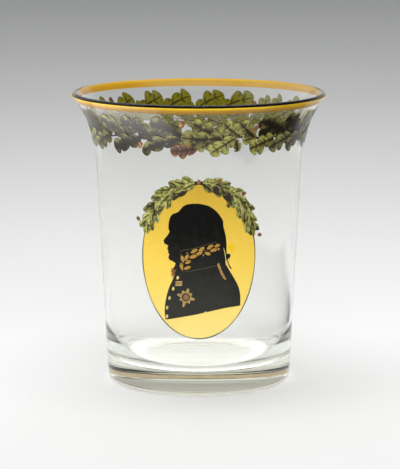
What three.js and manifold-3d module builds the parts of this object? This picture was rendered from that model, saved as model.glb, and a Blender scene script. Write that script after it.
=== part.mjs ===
// A flared drinking beaker of clear glass, with a decoration fired onto its wall: a yellow-stained
// band under the lip, a garland of oak leaves, and an oval medallion with a silhouette bust.
// Millimetres, +Z up. The origin is the middle of the foot, and the medallion faces -Y.

import * as THREE from "three";
import { mergeVertices } from "three/addons/utils/BufferGeometryUtils.js";
import Module from "manifold-3d";

const wasm = await Module();
wasm.setup();

const TAU = 2 * Math.PI;
const degrees = THREE.MathUtils.degToRad;

// Glass: driving dimensions

const HEIGHT = 102;
const FOOT_RADIUS = 31.95; // where the straight wall would meet the table
const TAPER = 0.0515; // radius gained per millimetre of height
const FLARE_HEIGHT = 31;
const FLARE_REACH = 7.9; // what the flare adds to the radius at the lip
const FLARE_POWER = 3.3; // how late the flare turns outwards
const LIP_THICKNESS = 1.8;
const WALL = 1.7;
const BASE_THICKNESS = 8;
const HEEL_RADIUS = 2.8;
const INNER_CORNER_WIDTH = 7;
const INNER_CORNER_HEIGHT = 15;
const HOLLOW_RADIUS = 20; // the shallow polished hollow under the foot
const HOLLOW_DEPTH = 0.4;
const GLASS_SEGMENTS = 56;

// Fired decoration: thickness of the layers and what separates them

const SEAT_GAP = 0.25; // from the glass to a layer's back
const LAYER = 0.25;
const JOINT_GAP = 0.3; // between neighbours in the same layer
const GILDING_LIFT = LAYER + SEAT_GAP; // gilding lies on top of the first layer
const LONGEST_EDGE = Math.sqrt(4.8 * FOOT_RADIUS * SEAT_GAP); // its middle dips by 0.6 of the seat gap

// Stained band under the lip

const BAND_HEIGHT = 2.2;
const LIP_MARGIN = 0.9; // bare glass between the band and the very top

// Oak garland

const GARLAND_GAP = 0.9; // from the band down to the highest leaves
const GARLAND_HEIGHT = 14;
const SPRAYS = 12;
const STEM_WIDTH = 1.3;
const STEM_DROP = 1; // from the garland's middle down to the stem
const ACORN_LENGTH = 2.6;
const ACORN_WIDTH = 1.9;

// Medallion

const OVAL_HALF_WIDTH = 20.2;
const OVAL_HALF_HEIGHT = 27;
const ROOM_OVER_WREATH = 0.233; // share of the spare wall, from heel to garland, left over the wreath
const LINE_WIDTH = 0.5;

// Laurel wreath over the medallion

const LAUREL_LENGTH = 4.6;
const LAUREL_WIDTH = 2.3;
const LAUREL_STEP = 2.4; // along the oval's edge
const LEFT_STATIONS = 10;
const RIGHT_STATIONS = 11;
const LAUREL_SPREAD = degrees(32);
const SPINE_WIDTH = 2.2;
const BERRY_RADIUS = 0.6;

// Glass profile

const FLARE_START = HEIGHT - FLARE_HEIGHT;

/** How far up the flare height z is: 0 where the flare starts, 1 at the lip. */
const flareShare = (z) => Math.max(0, z - FLARE_START) / FLARE_HEIGHT;

/** Outer radius of the glass at height z. */
function outerRadius(z) {
  return FOOT_RADIUS + TAPER * z + FLARE_REACH * flareShare(z) ** FLARE_POWER;
}

/** How far the outer wall leans outwards at height z, as an angle from upright. */
function wallLean(z) {
  const flare = (FLARE_POWER * FLARE_REACH * flareShare(z) ** (FLARE_POWER - 1)) / FLARE_HEIGHT;
  return Math.atan(TAPER + flare);
}

/** Thickness of the wall, square to its surface: it changes evenly up the flare. */
function wallThickness(z) {
  return THREE.MathUtils.lerp(WALL, LIP_THICKNESS, flareShare(z));
}

/** A point a given way out from the outer surface, square to it, at height z. */
function offWall(z, out) {
  const lean = wallLean(z);
  return new THREE.Vector2(outerRadius(z) + out * Math.cos(lean), z - out * Math.sin(lean));
}

const evenly = (count, make) => Array.from({ length: count }, (_, i) => make(i / (count - 1)));

const LIP_LEAN = wallLean(HEIGHT - LIP_THICKNESS / 2);
const LIP_SEAM = HEIGHT - (LIP_THICKNESS / 2) * (1 + Math.sin(LIP_LEAN)); // where the rounded lip begins
const INNER_CORNER_TOP = BASE_THICKNESS + INNER_CORNER_HEIGHT;
const HEEL_CENTRE = outerRadius(HEEL_RADIUS) - HEEL_RADIUS;

/** Points of an ellipse's arc, both ends included. */
function arc(x, y, halfWidth, halfHeight, from, to, count) {
  return evenly(count, (t) => {
    const angle = THREE.MathUtils.lerp(from, to, t);
    return new THREE.Vector2(x + halfWidth * Math.cos(angle), y + halfHeight * Math.sin(angle));
  });
}

/** The profile from the middle of the underside, up the outside, over the lip and down to the floor. */
function glassProfile() {
  const quarter = Math.PI / 2;
  const hollow = evenly(4, (t) => new THREE.Vector2(HOLLOW_RADIUS * t, HOLLOW_DEPTH * (1 - t * t)));
  const heel = arc(HEEL_CENTRE, HEEL_RADIUS, HEEL_RADIUS, HEEL_RADIUS, -quarter, 0, 4);
  const lowerWall = [0.5 * FLARE_START, FLARE_START].map((z) => offWall(z, 0));
  const flareHeights = evenly(6, (t) => THREE.MathUtils.lerp(FLARE_START + 0.25 * FLARE_HEIGHT, LIP_SEAM, t));
  const flare = flareHeights.map((z) => offWall(z, 0));
  const lipMiddle = offWall(LIP_SEAM, -LIP_THICKNESS / 2);
  const lipRadius = LIP_THICKNESS / 2;
  const lip = arc(lipMiddle.x, lipMiddle.y, lipRadius, lipRadius, -LIP_LEAN, Math.PI - LIP_LEAN, 6);
  const innerFlare = flareHeights.map((z) => offWall(z, -wallThickness(z))).reverse();
  const innerWall = [FLARE_START, 0.5 * (FLARE_START + INNER_CORNER_TOP), INNER_CORNER_TOP].map((z) =>
    offWall(z, -WALL),
  );
  const wallFoot = innerWall.at(-1);
  const corner = arc(
    wallFoot.x - INNER_CORNER_WIDTH,
    wallFoot.y,
    INNER_CORNER_WIDTH,
    wallFoot.y - BASE_THICKNESS,
    0,
    -quarter,
    5,
  );
  return [
    ...hollow,
    ...heel,
    ...lowerWall,
    ...flare,
    ...lip.slice(1, -1),
    ...innerFlare,
    ...innerWall,
    ...corner.slice(1),
    new THREE.Vector2(0, BASE_THICKNESS),
  ];
}

function vesselGeometry() {
  return new THREE.LatheGeometry(glassProfile(), GLASS_SEGMENTS).rotateX(Math.PI / 2);
}

/** A ring that follows the outer wall between two heights, as thick as a layer. */
function bandGeometry(low, high) {
  const front = [low, high].map((z) => offWall(z, SEAT_GAP + LAYER));
  const back = [high, low].map((z) => offWall(z, SEAT_GAP));
  const ring = [...front, ...back];
  return new THREE.LatheGeometry([...ring, ring[0]], GLASS_SEGMENTS).rotateX(Math.PI / 2);
}

// Flat solids, cut and joined before they are wrapped round the wall.
// In the flat, x runs round the wall, y is the height and z stands out from the glass.

/** A closed geometry as a solid that can be cut and joined. */
function solidFrom(geometry) {
  const bare = geometry.clone();
  bare.deleteAttribute("normal");
  bare.deleteAttribute("uv");
  const merged = mergeVertices(bare, 1e-4);
  return new wasm.Manifold(
    new wasm.Mesh({
      numProp: 3,
      vertProperties: new Float32Array(merged.attributes.position.array),
      triVerts: new Uint32Array(merged.index.array),
    }),
  );
}

/** A flat plate with the outline given by points, as thick as a layer. */
function plate(points) {
  const shape = new THREE.Shape(points);
  return solidFrom(new THREE.ExtrudeGeometry(shape, { depth: LAYER, bevelEnabled: false }));
}

/** The same plate made taller on both sides, to cut right through its neighbours. */
function cutter(points) {
  const shape = new THREE.Shape(points);
  const through = 3 * LAYER;
  return solidFrom(
    new THREE.ExtrudeGeometry(shape, { depth: through, bevelEnabled: false }).translate(0, 0, -LAYER),
  );
}

const joined = (solids) => solids.reduce((all, one) => all.add(one));

/** The largest body of a solid: a neighbour's cut can leave loose slivers. */
function largestBody(solid) {
  return solid.decompose().reduce((best, body) => (body.volume() > best.volume() ? body : best));
}

/** Splits every edge that is longer than the limit at its middle, until none is left. */
function splitLongEdges(positions, triangles, longest) {
  const points = positions.map((p) => p.clone());
  let faces = triangles;
  for (let again = true; again; ) {
    again = false;
    const middles = new Map();
    const middle = (a, b) => {
      if (points[a].distanceTo(points[b]) <= longest) return null;
      const key = a < b ? `${a},${b}` : `${b},${a}`;
      if (!middles.has(key)) {
        middles.set(key, points.push(points[a].clone().lerp(points[b], 0.5)) - 1);
      }
      return middles.get(key);
    };
    const next = [];
    for (const [a, b, c] of faces) {
      const [ab, bc, ca] = [middle(a, b), middle(b, c), middle(c, a)];
      const split = [ab, bc, ca].filter((m) => m !== null).length;
      again ||= split > 0;
      if (split === 0) next.push([a, b, c]);
      else if (split === 3) next.push([a, ab, ca], [ab, b, bc], [ca, bc, c], [ab, bc, ca]);
      else if (split === 1) {
        if (ab !== null) next.push([a, ab, c], [ab, b, c]);
        else if (bc !== null) next.push([b, bc, a], [bc, c, a]);
        else next.push([c, ca, b], [ca, a, b]);
      } else if (ab === null) next.push([a, b, ca], [b, bc, ca], [bc, c, ca]);
      else if (bc === null) next.push([b, c, ab], [c, ca, ab], [ca, a, ab]);
      else next.push([c, a, bc], [a, ab, bc], [ab, b, bc]);
    }
    faces = next;
  }
  return { points, faces };
}

/** Wraps a flat solid round the wall. zeroAngle turns it round the beaker, and lift raises it. */
function wrapped(solid, flatRadius, { zeroAngle = 0, lift = 0 } = {}) {
  const mesh = solid.getMesh();
  const flat = [];
  for (let i = 0; i < mesh.numVert; i++) {
    flat.push(new THREE.Vector3().fromArray(mesh.vertProperties, i * mesh.numProp));
  }
  const triangles = [];
  for (let i = 0; i < mesh.triVerts.length; i += 3) triangles.push([...mesh.triVerts.slice(i, i + 3)]);
  const { points, faces } = splitLongEdges(flat, triangles, LONGEST_EDGE);
  const vertices = points.flatMap(({ x, y, z }) => {
    const angle = zeroAngle + x / flatRadius;
    const at = offWall(y, SEAT_GAP + lift + z);
    return [at.x * Math.sin(angle), -at.x * Math.cos(angle), at.y];
  });
  return new THREE.BufferGeometry()
    .setAttribute("position", new THREE.Float32BufferAttribute(vertices, 3))
    .setIndex(faces.flat());
}

// Outlines

/** Turns an outline by an angle and moves it. */
function placed(points, x, y, turn) {
  const at = new THREE.Vector2(x, y);
  return points.map((p) => p.clone().rotateAround(new THREE.Vector2(), turn).add(at));
}

/** A leaf from its stalk at the origin to its tip on +X: half(t) is its half-width at t. grow widens it. */
function leafOutline(length, stations, half, grow, sweep = 0) {
  const edge = (side) =>
    evenly(stations, (t) => {
      const margin = t > 0 && t < 1 ? grow : 0;
      const forward = sweep * length * Math.sin(Math.PI * t);
      return new THREE.Vector2((length + 2 * grow) * t - grow + forward, side * (half(t) + margin));
    });
  return [...edge(-1), ...edge(1).slice(1, -1).reverse()];
}

const OAK_LOBES = 3; // on each side: the last pair makes the round lobe at the tip
const OAK_STATIONS = 4 * OAK_LOBES + 1;
const OAK_WAIST = 0.42; // half-width between two lobes, as a share of the lobe's
const OAK_SWEEP = 0.05; // how far the lobes lean towards the tip, as a share of the length

/** A lobed oak leaf. */
function oakLeaf(length, width, grow = 0) {
  const half = (t) => {
    const swell = Math.sin(Math.PI * t ** 1.15) ** 0.3 || 0;
    const lobe = Math.abs(Math.sin(Math.PI * OAK_LOBES * t)) ** 0.5;
    return (width / 2) * swell * THREE.MathUtils.lerp(OAK_WAIST, 1, lobe);
  };
  return leafOutline(length, OAK_STATIONS, half, grow, OAK_SWEEP);
}

/** A plain laurel leaf. */
function laurelLeaf(length, width, grow = 0) {
  return leafOutline(length, 5, (t) => (width / 2) * (Math.sin(Math.PI * t ** 0.9) ** 0.8 || 0), grow);
}

/** An ellipse about a centre. */
function ellipse(x, y, halfWidth, halfHeight, count = 12) {
  return Array.from({ length: count }, (_, i) => {
    const angle = (i * TAU) / count;
    return new THREE.Vector2(x + halfWidth * Math.cos(angle), y + halfHeight * Math.sin(angle));
  });
}

/** The outline of a stroke of a given width along a line of points. */
function stroke(line, width) {
  const side = (sign) =>
    line.map((p, i) => {
      const along = line[Math.min(i + 1, line.length - 1)].clone().sub(line[Math.max(i - 1, 0)]);
      const across = new THREE.Vector2(-along.y, along.x).setLength((sign * width) / 2);
      return p.clone().add(across);
    });
  return [...side(-1), ...side(1).reverse()];
}

// Garland

const BAND_TOP = HEIGHT - LIP_MARGIN;
const BAND_FOOT = BAND_TOP - BAND_HEIGHT;
const GARLAND_TOP = BAND_FOOT - GARLAND_GAP;
const GARLAND_MIDDLE = GARLAND_TOP - GARLAND_HEIGHT / 2;
const GARLAND_RADIUS = outerRadius(GARLAND_MIDDLE);
const SPRAY_PITCH = (TAU * GARLAND_RADIUS) / SPRAYS;

// The garland repeats four kinds of spray. Each leaf runs from its stalk to its tip, in hundredths of
// the pitch to the left of the spray's start and of the garland's height over its middle. Its width is
// in hundredths of that height too.
const SPRAY_KINDS = [
  {
    leaves: [
      { from: [27, -1], to: [79, 33], width: 47 },
      { from: [32, -6], to: [103, -42], width: 38 },
      { from: [57, -4], to: [96, 16], width: 34 },
      { from: [82, 0], to: [135, 35], width: 50 },
    ],
    withered: { from: [1, -29], to: [50, -37], width: 37 },
    acorn: [27, 30],
  },
  {
    leaves: [
      { from: [2, -9], to: [68, -36], width: 44 },
      { from: [34, -3], to: [86, 33], width: 47 },
      { from: [71, -9], to: [126, -39], width: 44 },
      { from: [94, 0], to: [144, 36], width: 46 },
    ],
    acorn: [7, -27],
  },
  {
    leaves: [
      { from: [16, -11], to: [69, -36], width: 44 },
      { from: [34, 0], to: [100, 33], width: 47 },
      { from: [61, -11], to: [110, -34], width: 48 },
    ],
  },
  {
    leaves: [
      { from: [3, -6], to: [34, 34], width: 40 },
      { from: [30, -1], to: [61, 35], width: 46 },
      { from: [38, -6], to: [81, -43], width: 44 },
      { from: [38, -8], to: [31, -39], width: 23 },
      { from: [55, -4], to: [111, 35], width: 49 },
      { from: [60, -6], to: [130, -3], width: 51 },
    ],
    acorn: [4, 14],
  },
];

const sprayKind = (spray) => SPRAY_KINDS[(spray + SPRAYS) % SPRAY_KINDS.length];

/** A place in a spray's own measure, in the flat. Its stalk is at x = 0, and its tips point to -X. */
const inSpray = ([along, up]) =>
  new THREE.Vector2((-along / 100) * SPRAY_PITCH, GARLAND_MIDDLE + (up / 100) * GARLAND_HEIGHT);

/** An oak leaf from its stalk to its tip, in a spray's own measure. */
function oakLeafOutline({ from, to, width }, grow = 0) {
  const [stalk, tip] = [inSpray(from), inSpray(to)];
  const leaf = oakLeaf(stalk.distanceTo(tip), (width / 100) * GARLAND_HEIGHT, grow);
  return placed(leaf, stalk.x, stalk.y, tip.clone().sub(stalk).angle());
}

/** Outlines of one spray's green leaves and stem. */
function sprayOutlines(spray, grow = 0) {
  const leaves = sprayKind(spray).leaves.map((leaf) => oakLeafOutline(leaf, grow));
  const stem = evenly(5, (t) => {
    const x = THREE.MathUtils.lerp(-0.05, -0.95, t) * SPRAY_PITCH - (t === 1 ? grow : 0);
    return new THREE.Vector2(x, GARLAND_MIDDLE - STEM_DROP + 0.5 * Math.sin(TAU * t));
  });
  return [...leaves, stroke(stem, STEM_WIDTH + 2 * grow)];
}

/** The acorn of a spray. */
function acornOutline(spray, grow = 0) {
  const at = inSpray(sprayKind(spray).acorn);
  return placed(ellipse(0, 0, ACORN_LENGTH / 2 + grow, ACORN_WIDTH / 2 + grow), at.x, at.y, degrees(65));
}

/** What a spray carries besides its green leaves, a joint's width larger. */
function guestOutlines(spray) {
  const { withered, acorn } = sprayKind(spray);
  const guests = [];
  if (withered) guests.push(oakLeafOutline(withered, JOINT_GAP));
  if (acorn) guests.push(acornOutline(spray, JOINT_GAP));
  return guests;
}

const shifted = (points, x) => points.map((p) => new THREE.Vector2(p.x + x, p.y));

/** A spray, cut by the leaf tips of the spray on its right and by the withered leaves and acorns near it. */
function spraySolid(spray) {
  const whole = joined(sprayOutlines(spray).map(plate));
  const [left, right] = [spray + 1, spray - 1];
  const over = [
    ...guestOutlines(spray),
    ...guestOutlines(left).map((outline) => shifted(outline, -SPRAY_PITCH)),
    ...[...sprayOutlines(right, JOINT_GAP), ...guestOutlines(right)].map((o) => shifted(o, SPRAY_PITCH)),
  ];
  return largestBody(whole.subtract(joined(over.map(cutter))));
}

// Medallion

const WREATH_REACH = LAUREL_LENGTH * Math.sin(LAUREL_SPREAD) + LAUREL_WIDTH / 2; // outside the oval
const GARLAND_FOOT = GARLAND_TOP - GARLAND_HEIGHT;
const SPARE_WALL = GARLAND_FOOT - HEEL_RADIUS - 2 * OVAL_HALF_HEIGHT - WREATH_REACH;
const OVAL_TOP = GARLAND_FOOT - ROOM_OVER_WREATH * SPARE_WALL - WREATH_REACH;
const OVAL_CENTRE = OVAL_TOP - OVAL_HALF_HEIGHT;
const MEDALLION_RADIUS = outerRadius(OVAL_CENTRE);

/** A point on the oval's edge. turn is 0 at the top and grows to the right; out lies outside it. */
function onOval(turn, out = 0) {
  return new THREE.Vector2(
    (OVAL_HALF_WIDTH + out) * Math.sin(turn),
    OVAL_CENTRE + (OVAL_HALF_HEIGHT + out) * Math.cos(turn),
  );
}

/** A point inside the oval, in hundredths of its half-width and of its half-height. */
function inOval([x, y]) {
  return new THREE.Vector2((x / 100) * OVAL_HALF_WIDTH, OVAL_CENTRE + (y / 100) * OVAL_HALF_HEIGHT);
}

/** Points along the oval's edge, evenly spaced, from the top towards one side. */
function alongOval(side, spacing, count) {
  const fine = 600;
  const found = [onOval(0)];
  let travelled = 0;
  let last = found[0];
  for (let i = 1; found.length < count && i < fine; i++) {
    const point = onOval((side * i * Math.PI) / fine);
    travelled += point.distanceTo(last);
    last = point;
    if (travelled >= spacing * found.length) found.push(point);
  }
  return found;
}

/** A little unevenness, so that no two leaves are alike: from -1 to 1. */
const uneven = (station, way) => Math.sin(2.4 * station + 1.9 * way + 0.7);

/** Outlines of one half of the wreath: side is -1 for the left and 1 for the right. */
function wreathOutlines(side, grow = 0) {
  const stations = side < 0 ? LEFT_STATIONS : RIGHT_STATIONS;
  const line = alongOval(side, LAUREL_STEP / 2, 2 * stations + 3);
  const leaves = [];
  for (let station = 0; station < stations; station++) {
    const at = line[2 * station + 1];
    const ahead = line[2 * station + 3].clone().sub(at).angle();
    const full = Math.sin(Math.PI * THREE.MathUtils.lerp(0.2, 0.82, station / (stations - 1)));
    for (const way of [-1, 1]) {
      const length = LAUREL_LENGTH * (0.7 + 0.3 * full) * (1 + 0.05 * uneven(station, way));
      const width = LAUREL_WIDTH * (0.78 + 0.22 * full);
      const turn = ahead + way * LAUREL_SPREAD * (0.85 + 0.2 * uneven(station, 2 * way));
      leaves.push(placed(laurelLeaf(length, width, grow), at.x, at.y, turn));
    }
  }
  const tip = line[2 * stations];
  const last = line[2 * stations + 2].clone().sub(tip).angle();
  leaves.push(placed(laurelLeaf(LAUREL_LENGTH * 0.9, LAUREL_WIDTH * 0.9, grow), tip.x, tip.y, last));
  return [stroke(line.slice(1, 2 * stations + 1), SPINE_WIDTH + 2 * grow), ...leaves];
}

// Berries on the wreath: how far round the oval each sits, and how far outside its edge.
const BERRIES = [
  [0, 0.4],
  [18, 1.9],
  [40.5, 3.2],
  [74, 2.5],
  [-63.5, 3.8],
].map(([turn, out]) => ({ turn: degrees(turn), out }));

const berryOutline = ({ turn, out }, grow = 0) => {
  const at = onOval(turn, out);
  return ellipse(at.x, at.y, BERRY_RADIUS + grow, BERRY_RADIUS + grow, 8);
};

/** The bust's outline, facing left: coat, cravat, a plain profile by thirds, dressed hair and its ribbon. */
function bustOutline() {
  const coatFront = [
    [-59, -76.5],
    [-60, -65],
    [-58, -52],
    [-52, -36],
    [-44, -23],
    [-43, -18],
    [-47, -14],
    [-42, -8],
    [-39, -3],
  ];
  const chin = -0.5;
  const third = 21; // chin to nose, nose to brow and brow to hairline, in the oval's measure
  const nose = chin + third;
  const brow = nose + third;
  const face = -50; // the plane of the brow
  const profile = [
    [face + 6, chin],
    [face, chin + 0.1 * third],
    [face - 1.5, chin + 0.26 * third],
    [face + 0.5, chin + 0.42 * third],
    [face - 2.5, chin + 0.54 * third],
    [face - 1.2, chin + 0.64 * third],
    [face - 3.5, chin + 0.74 * third],
    [face - 1.5, nose - 0.04 * third],
    [face - 8, nose + 0.06 * third],
    [face - 9.5, nose + 0.26 * third],
    [face + 1, brow - 0.22 * third],
    [face - 0.5, brow],
    [face + 1, brow + 0.5 * third],
    [face + 6, brow + 0.85 * third],
  ];
  const hair = [
    [-34, 63],
    [-23, 71.5],
    [-7, 74],
    [12, 72],
    [25, 66.5],
    [35, 58],
    [40, 51],
    [40.5, 45],
    [43, 37],
    [46.5, 26],
    [46.5, 10],
  ];
  const ribbon = [
    [48, 10.5],
    [51.5, 9],
    [51, 5.5],
    [49, 3.5],
    [50.5, -3],
    [55, -8.5],
    [52, -8],
    [48.5, -4.5],
  ];
  const back = [
    [51, -11],
    [61, -23],
    [69, -34],
    [73, -45],
    [73.5, -59],
  ];
  const hem = [
    [45, -61],
    [13, -65.5],
    [11.5, -63.8],
    [9.5, -66],
    [-25, -71.5],
  ];
  return [...coatFront, ...profile, ...hair, ...ribbon, ...back, ...hem].map(inOval);
}

/** An outline grown by a margin: each point moves out along the mean of its edges' normals. */
function grown(points, margin) {
  const count = points.length;
  return points.map((p, i) => {
    const before = points[(i + count - 1) % count];
    const after = points[(i + 1) % count];
    const normals = [p.clone().sub(before), after.clone().sub(p)].map((edge) =>
      new THREE.Vector2(edge.y, -edge.x).normalize(),
    );
    const mean = normals[0].clone().add(normals[1]).normalize();
    return p.clone().addScaledVector(mean, margin / Math.max(0.6, mean.dot(normals[0])));
  });
}

/** The oval's own outline, or one that lies further out. */
const ovalOutline = (out = 0) => evenly(57, (t) => onOval(TAU * t, out)).slice(0, -1);

/** What is laid over the oval's edge, cut a joint's width larger. */
function wreathCutters() {
  return [...wreathOutlines(-1, JOINT_GAP), ...wreathOutlines(1, JOINT_GAP)]
    .concat(BERRIES.map((berry) => berryOutline(berry, JOINT_GAP)))
    .map(cutter);
}

/** The stained oval, with room for the bust and the wreath in the same layer. */
function groundSolid() {
  const bust = bustOutline();
  const outward = THREE.ShapeUtils.isClockWise(bust) ? -JOINT_GAP : JOINT_GAP;
  const cuts = [cutter(grown(bust, outward)), ...wreathCutters()];
  return largestBody(plate(ovalOutline()).subtract(joined(cuts)));
}

/** The dark line round the oval, from one end of the wreath round the foot to the other. */
function lineSolid() {
  const whole = plate(ovalOutline(JOINT_GAP + LINE_WIDTH));
  return largestBody(whole.subtract(joined([cutter(ovalOutline(JOINT_GAP)), ...wreathCutters()])));
}

/** One half of the wreath, clear of the berries and of the other half. */
function wreathSolid(side) {
  const whole = joined(wreathOutlines(side).map(plate));
  const berries = BERRIES.map((berry) => cutter(berryOutline(berry, JOINT_GAP)));
  return largestBody(whole.subtract(joined(berries)));
}

// Gilding on the bust

const STAR_RADIUS = 3.2;
const STAR_POINTS = 8;
const SHORT_POINT = 0.8; // every other point's reach, as a share of the star's radius
const STAR_POINT_WIDTH = 0.86;
const STAR_DISC = 1.6; // radius of the disc that the points stand on
const BUTTON_HALF_WIDTH = 0.45;
const BUTTON_HALF_HEIGHT = 0.65;
const PIPING_WIDTH = 0.45;
const BRAID_WIDTH = 1.1;
const CLASP_WIDTH = 0.55;
const CRAVAT_HALF_WIDTH = 0.85;
const CRAVAT_HALF_HEIGHT = 1.25;
const SPRIG_LEAF_LENGTH = 2.2;
const SPRIG_LEAF_WIDTH = 1.2;
const SPRIG_STEM_WIDTH = 0.5;
const SPRIG_SPREAD = degrees(35);

// Places on the bust, in the oval's own measure.
const STAR_PLACE = [-22, -46];
const CRAVAT_PLACE = [-41, -14.5];
const BUTTON_PLACES = [
  [-35.5, -21.5],
  [-43.5, -36],
  [-50, -48],
  [-55, -61],
  [-55.5, -71.5],
];
const CLASPS = [
  { from: [-40, -27.9], to: [-29.5, -27.2] },
  { from: [-41, -30.7], to: [-29.5, -30] },
];
const COLLAR_FRONT = [-25, -13.5];
const COLLAR_CORNER = [-24.5, 2];
const COLLAR_TURN = [-12, 10];
const COLLAR_BACK = [33, 19];
const PIPING = { from: [-22, -15.5], to: [28, -7.5] };
const BRAID = { from: [34.5, -6], to: [47, -24.5] };

/** An eight-pointed breast star: blunt points, long and short by turns, round a disc. */
function starSolid() {
  const centre = inOval(STAR_PLACE);
  const points = Array.from({ length: STAR_POINTS }, (_, i) => {
    const reach = i % 2 ? SHORT_POINT * STAR_RADIUS : STAR_RADIUS;
    const line = [0, reach - STAR_POINT_WIDTH / 3].map((x) => new THREE.Vector2(x, 0));
    const blunt = stroke(line, STAR_POINT_WIDTH).toSpliced(2, 0, new THREE.Vector2(reach, 0));
    return placed(blunt, centre.x, centre.y, (i * TAU) / STAR_POINTS - degrees(16));
  });
  return joined([ellipse(centre.x, centre.y, STAR_DISC, STAR_DISC), ...points].map(plate));
}

/** Points from one place to the next, the last one left out. */
const between = (from, to, count) => evenly(count + 1, (t) => from.clone().lerp(to, t)).slice(0, -1);

/** The leaf embroidery up the collar's front edge and back along its top edge. */
function sprigSolid() {
  const [front, corner, turn, back] = [COLLAR_FRONT, COLLAR_CORNER, COLLAR_TURN, COLLAR_BACK].map(inOval);
  const stem = [...between(front, corner, 2), ...between(corner, turn, 2), ...between(turn, back, 5), back];
  const parts = [stroke(stem, SPRIG_STEM_WIDTH)];
  stem.slice(0, -1).forEach((at, i) => {
    const ahead = stem[i + 1].clone().sub(at).angle();
    for (const way of [-1, 1]) {
      const leaf = laurelLeaf(SPRIG_LEAF_LENGTH, SPRIG_LEAF_WIDTH);
      parts.push(placed(leaf, at.x, at.y, ahead + way * SPRIG_SPREAD));
    }
  });
  return joined(parts.map(plate));
}

/** A bar with round ends between two places on the bust. */
function barOutline({ from, to }, width) {
  const [start, end] = [inOval(from), inOval(to)];
  const turn = end.clone().sub(start).angle();
  const cap = (at, first) => arc(at.x, at.y, width / 2, width / 2, turn + first, turn + first + Math.PI, 4);
  return [...cap(end, -Math.PI / 2), ...cap(start, Math.PI / 2)];
}

/** An ellipse about a place on the bust. */
function spotOutline(place, halfWidth, halfHeight) {
  const centre = inOval(place);
  return ellipse(centre.x, centre.y, halfWidth, halfHeight, 8);
}

// Assembly

const material = (color, roughness, metalness = 0) =>
  new THREE.MeshStandardMaterial({ color, roughness, metalness });

const glass = material(0xeef2f0, 0.03);
glass.transparent = true;
glass.opacity = 0.35;
const bandStain = material(0xd9a321, 0.15);
const ovalStain = material(0xf6d256, 0.15);
const oakGreen = material(0x7b8c3c, 0.35);
const witheredBrown = material(0x6d4a35, 0.35);
const acornOrange = material(0xb0693a, 0.35);
const laurelGreen = material(0x9bab63, 0.35);
const blackEnamel = material(0x17171a, 0.25);
const gilding = material(0xc99a3e, 0.3, 0.6);

const beaker = new THREE.Group();

function addPiece(name, geometry, surface) {
  const mesh = new THREE.Mesh(geometry, surface);
  mesh.name = name;
  beaker.add(mesh);
}

addPiece("vessel", vesselGeometry(), glass);
addPiece("rim_band", bandGeometry(BAND_FOOT, BAND_TOP), bandStain);

for (let spray = 0; spray < SPRAYS; spray++) {
  const number = String(spray + 1).padStart(2, "0");
  const onGarland = (solid) => wrapped(solid, GARLAND_RADIUS, { zeroAngle: (-spray * TAU) / SPRAYS });
  const { withered, acorn } = sprayKind(spray);
  addPiece(`oak_spray_${number}`, onGarland(spraySolid(spray)), oakGreen);
  if (withered) addPiece(`brown_leaf_${number}`, onGarland(plate(oakLeafOutline(withered))), witheredBrown);
  if (acorn) addPiece(`acorn_${number}`, onGarland(plate(acornOutline(spray))), acornOrange);
}

const onMedallion = (solid, lift = 0) => wrapped(solid, MEDALLION_RADIUS, { lift });

addPiece("medallion_ground", onMedallion(groundSolid()), ovalStain);
addPiece("medallion_line", onMedallion(lineSolid()), blackEnamel);
addPiece("wreath_left", onMedallion(wreathSolid(-1)), laurelGreen);
addPiece("wreath_right", onMedallion(wreathSolid(1)), laurelGreen);
BERRIES.forEach((berry, i) => {
  addPiece(`wreath_berry_${i + 1}`, onMedallion(plate(berryOutline(berry))), acornOrange);
});
addPiece("bust", onMedallion(plate(bustOutline())), blackEnamel);

function addGilding(name, solid) {
  addPiece(name, onMedallion(solid, GILDING_LIFT), gilding);
}

addGilding("breast_star", starSolid());
addGilding("collar_sprig", sprigSolid());
addGilding("collar_piping", plate(barOutline(PIPING, PIPING_WIDTH)));
addGilding("shoulder_braid", plate(barOutline(BRAID, BRAID_WIDTH)));
addGilding("cravat_bow", plate(spotOutline(CRAVAT_PLACE, CRAVAT_HALF_WIDTH, CRAVAT_HALF_HEIGHT)));
CLASPS.forEach((clasp, i) => {
  addGilding(`lapel_clasp_${i + 1}`, plate(barOutline(clasp, CLASP_WIDTH)));
});
BUTTON_PLACES.forEach((place, i) => {
  addGilding(`button_${i + 1}`, plate(spotOutline(place, BUTTON_HALF_WIDTH, BUTTON_HALF_HEIGHT)));
});

export default beaker;
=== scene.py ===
"""Looks of a flared glass beaker with fired decoration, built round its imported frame.

Shapes are worked out in millimetres and turned into metres when a mesh is finished. The decoration
is laid out in the flat, where x runs round the wall, y is the height and z stands out from the
glass, and is then wrapped round the wall.
"""

from __future__ import annotations

import logging
import math
from collections.abc import Callable, Sequence
from dataclasses import dataclass, field
from enum import Enum

import bmesh
import bpy
from mathutils import Matrix, Vector

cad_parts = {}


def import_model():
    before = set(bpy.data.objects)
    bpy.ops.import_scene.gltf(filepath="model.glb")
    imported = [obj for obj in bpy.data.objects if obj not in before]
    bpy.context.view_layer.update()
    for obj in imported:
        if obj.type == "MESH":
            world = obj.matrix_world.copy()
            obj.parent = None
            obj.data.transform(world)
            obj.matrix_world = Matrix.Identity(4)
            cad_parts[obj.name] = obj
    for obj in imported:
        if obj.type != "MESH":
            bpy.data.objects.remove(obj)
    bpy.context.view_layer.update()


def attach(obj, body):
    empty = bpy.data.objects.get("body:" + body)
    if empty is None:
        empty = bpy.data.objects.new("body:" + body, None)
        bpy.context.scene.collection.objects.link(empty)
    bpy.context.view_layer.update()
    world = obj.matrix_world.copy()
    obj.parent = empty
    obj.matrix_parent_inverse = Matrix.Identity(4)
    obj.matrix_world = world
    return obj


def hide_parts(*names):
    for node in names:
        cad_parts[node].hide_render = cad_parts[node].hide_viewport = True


LOG = logging.getLogger("beaker")
METRES = 0.001
BODY = "root"

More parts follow.
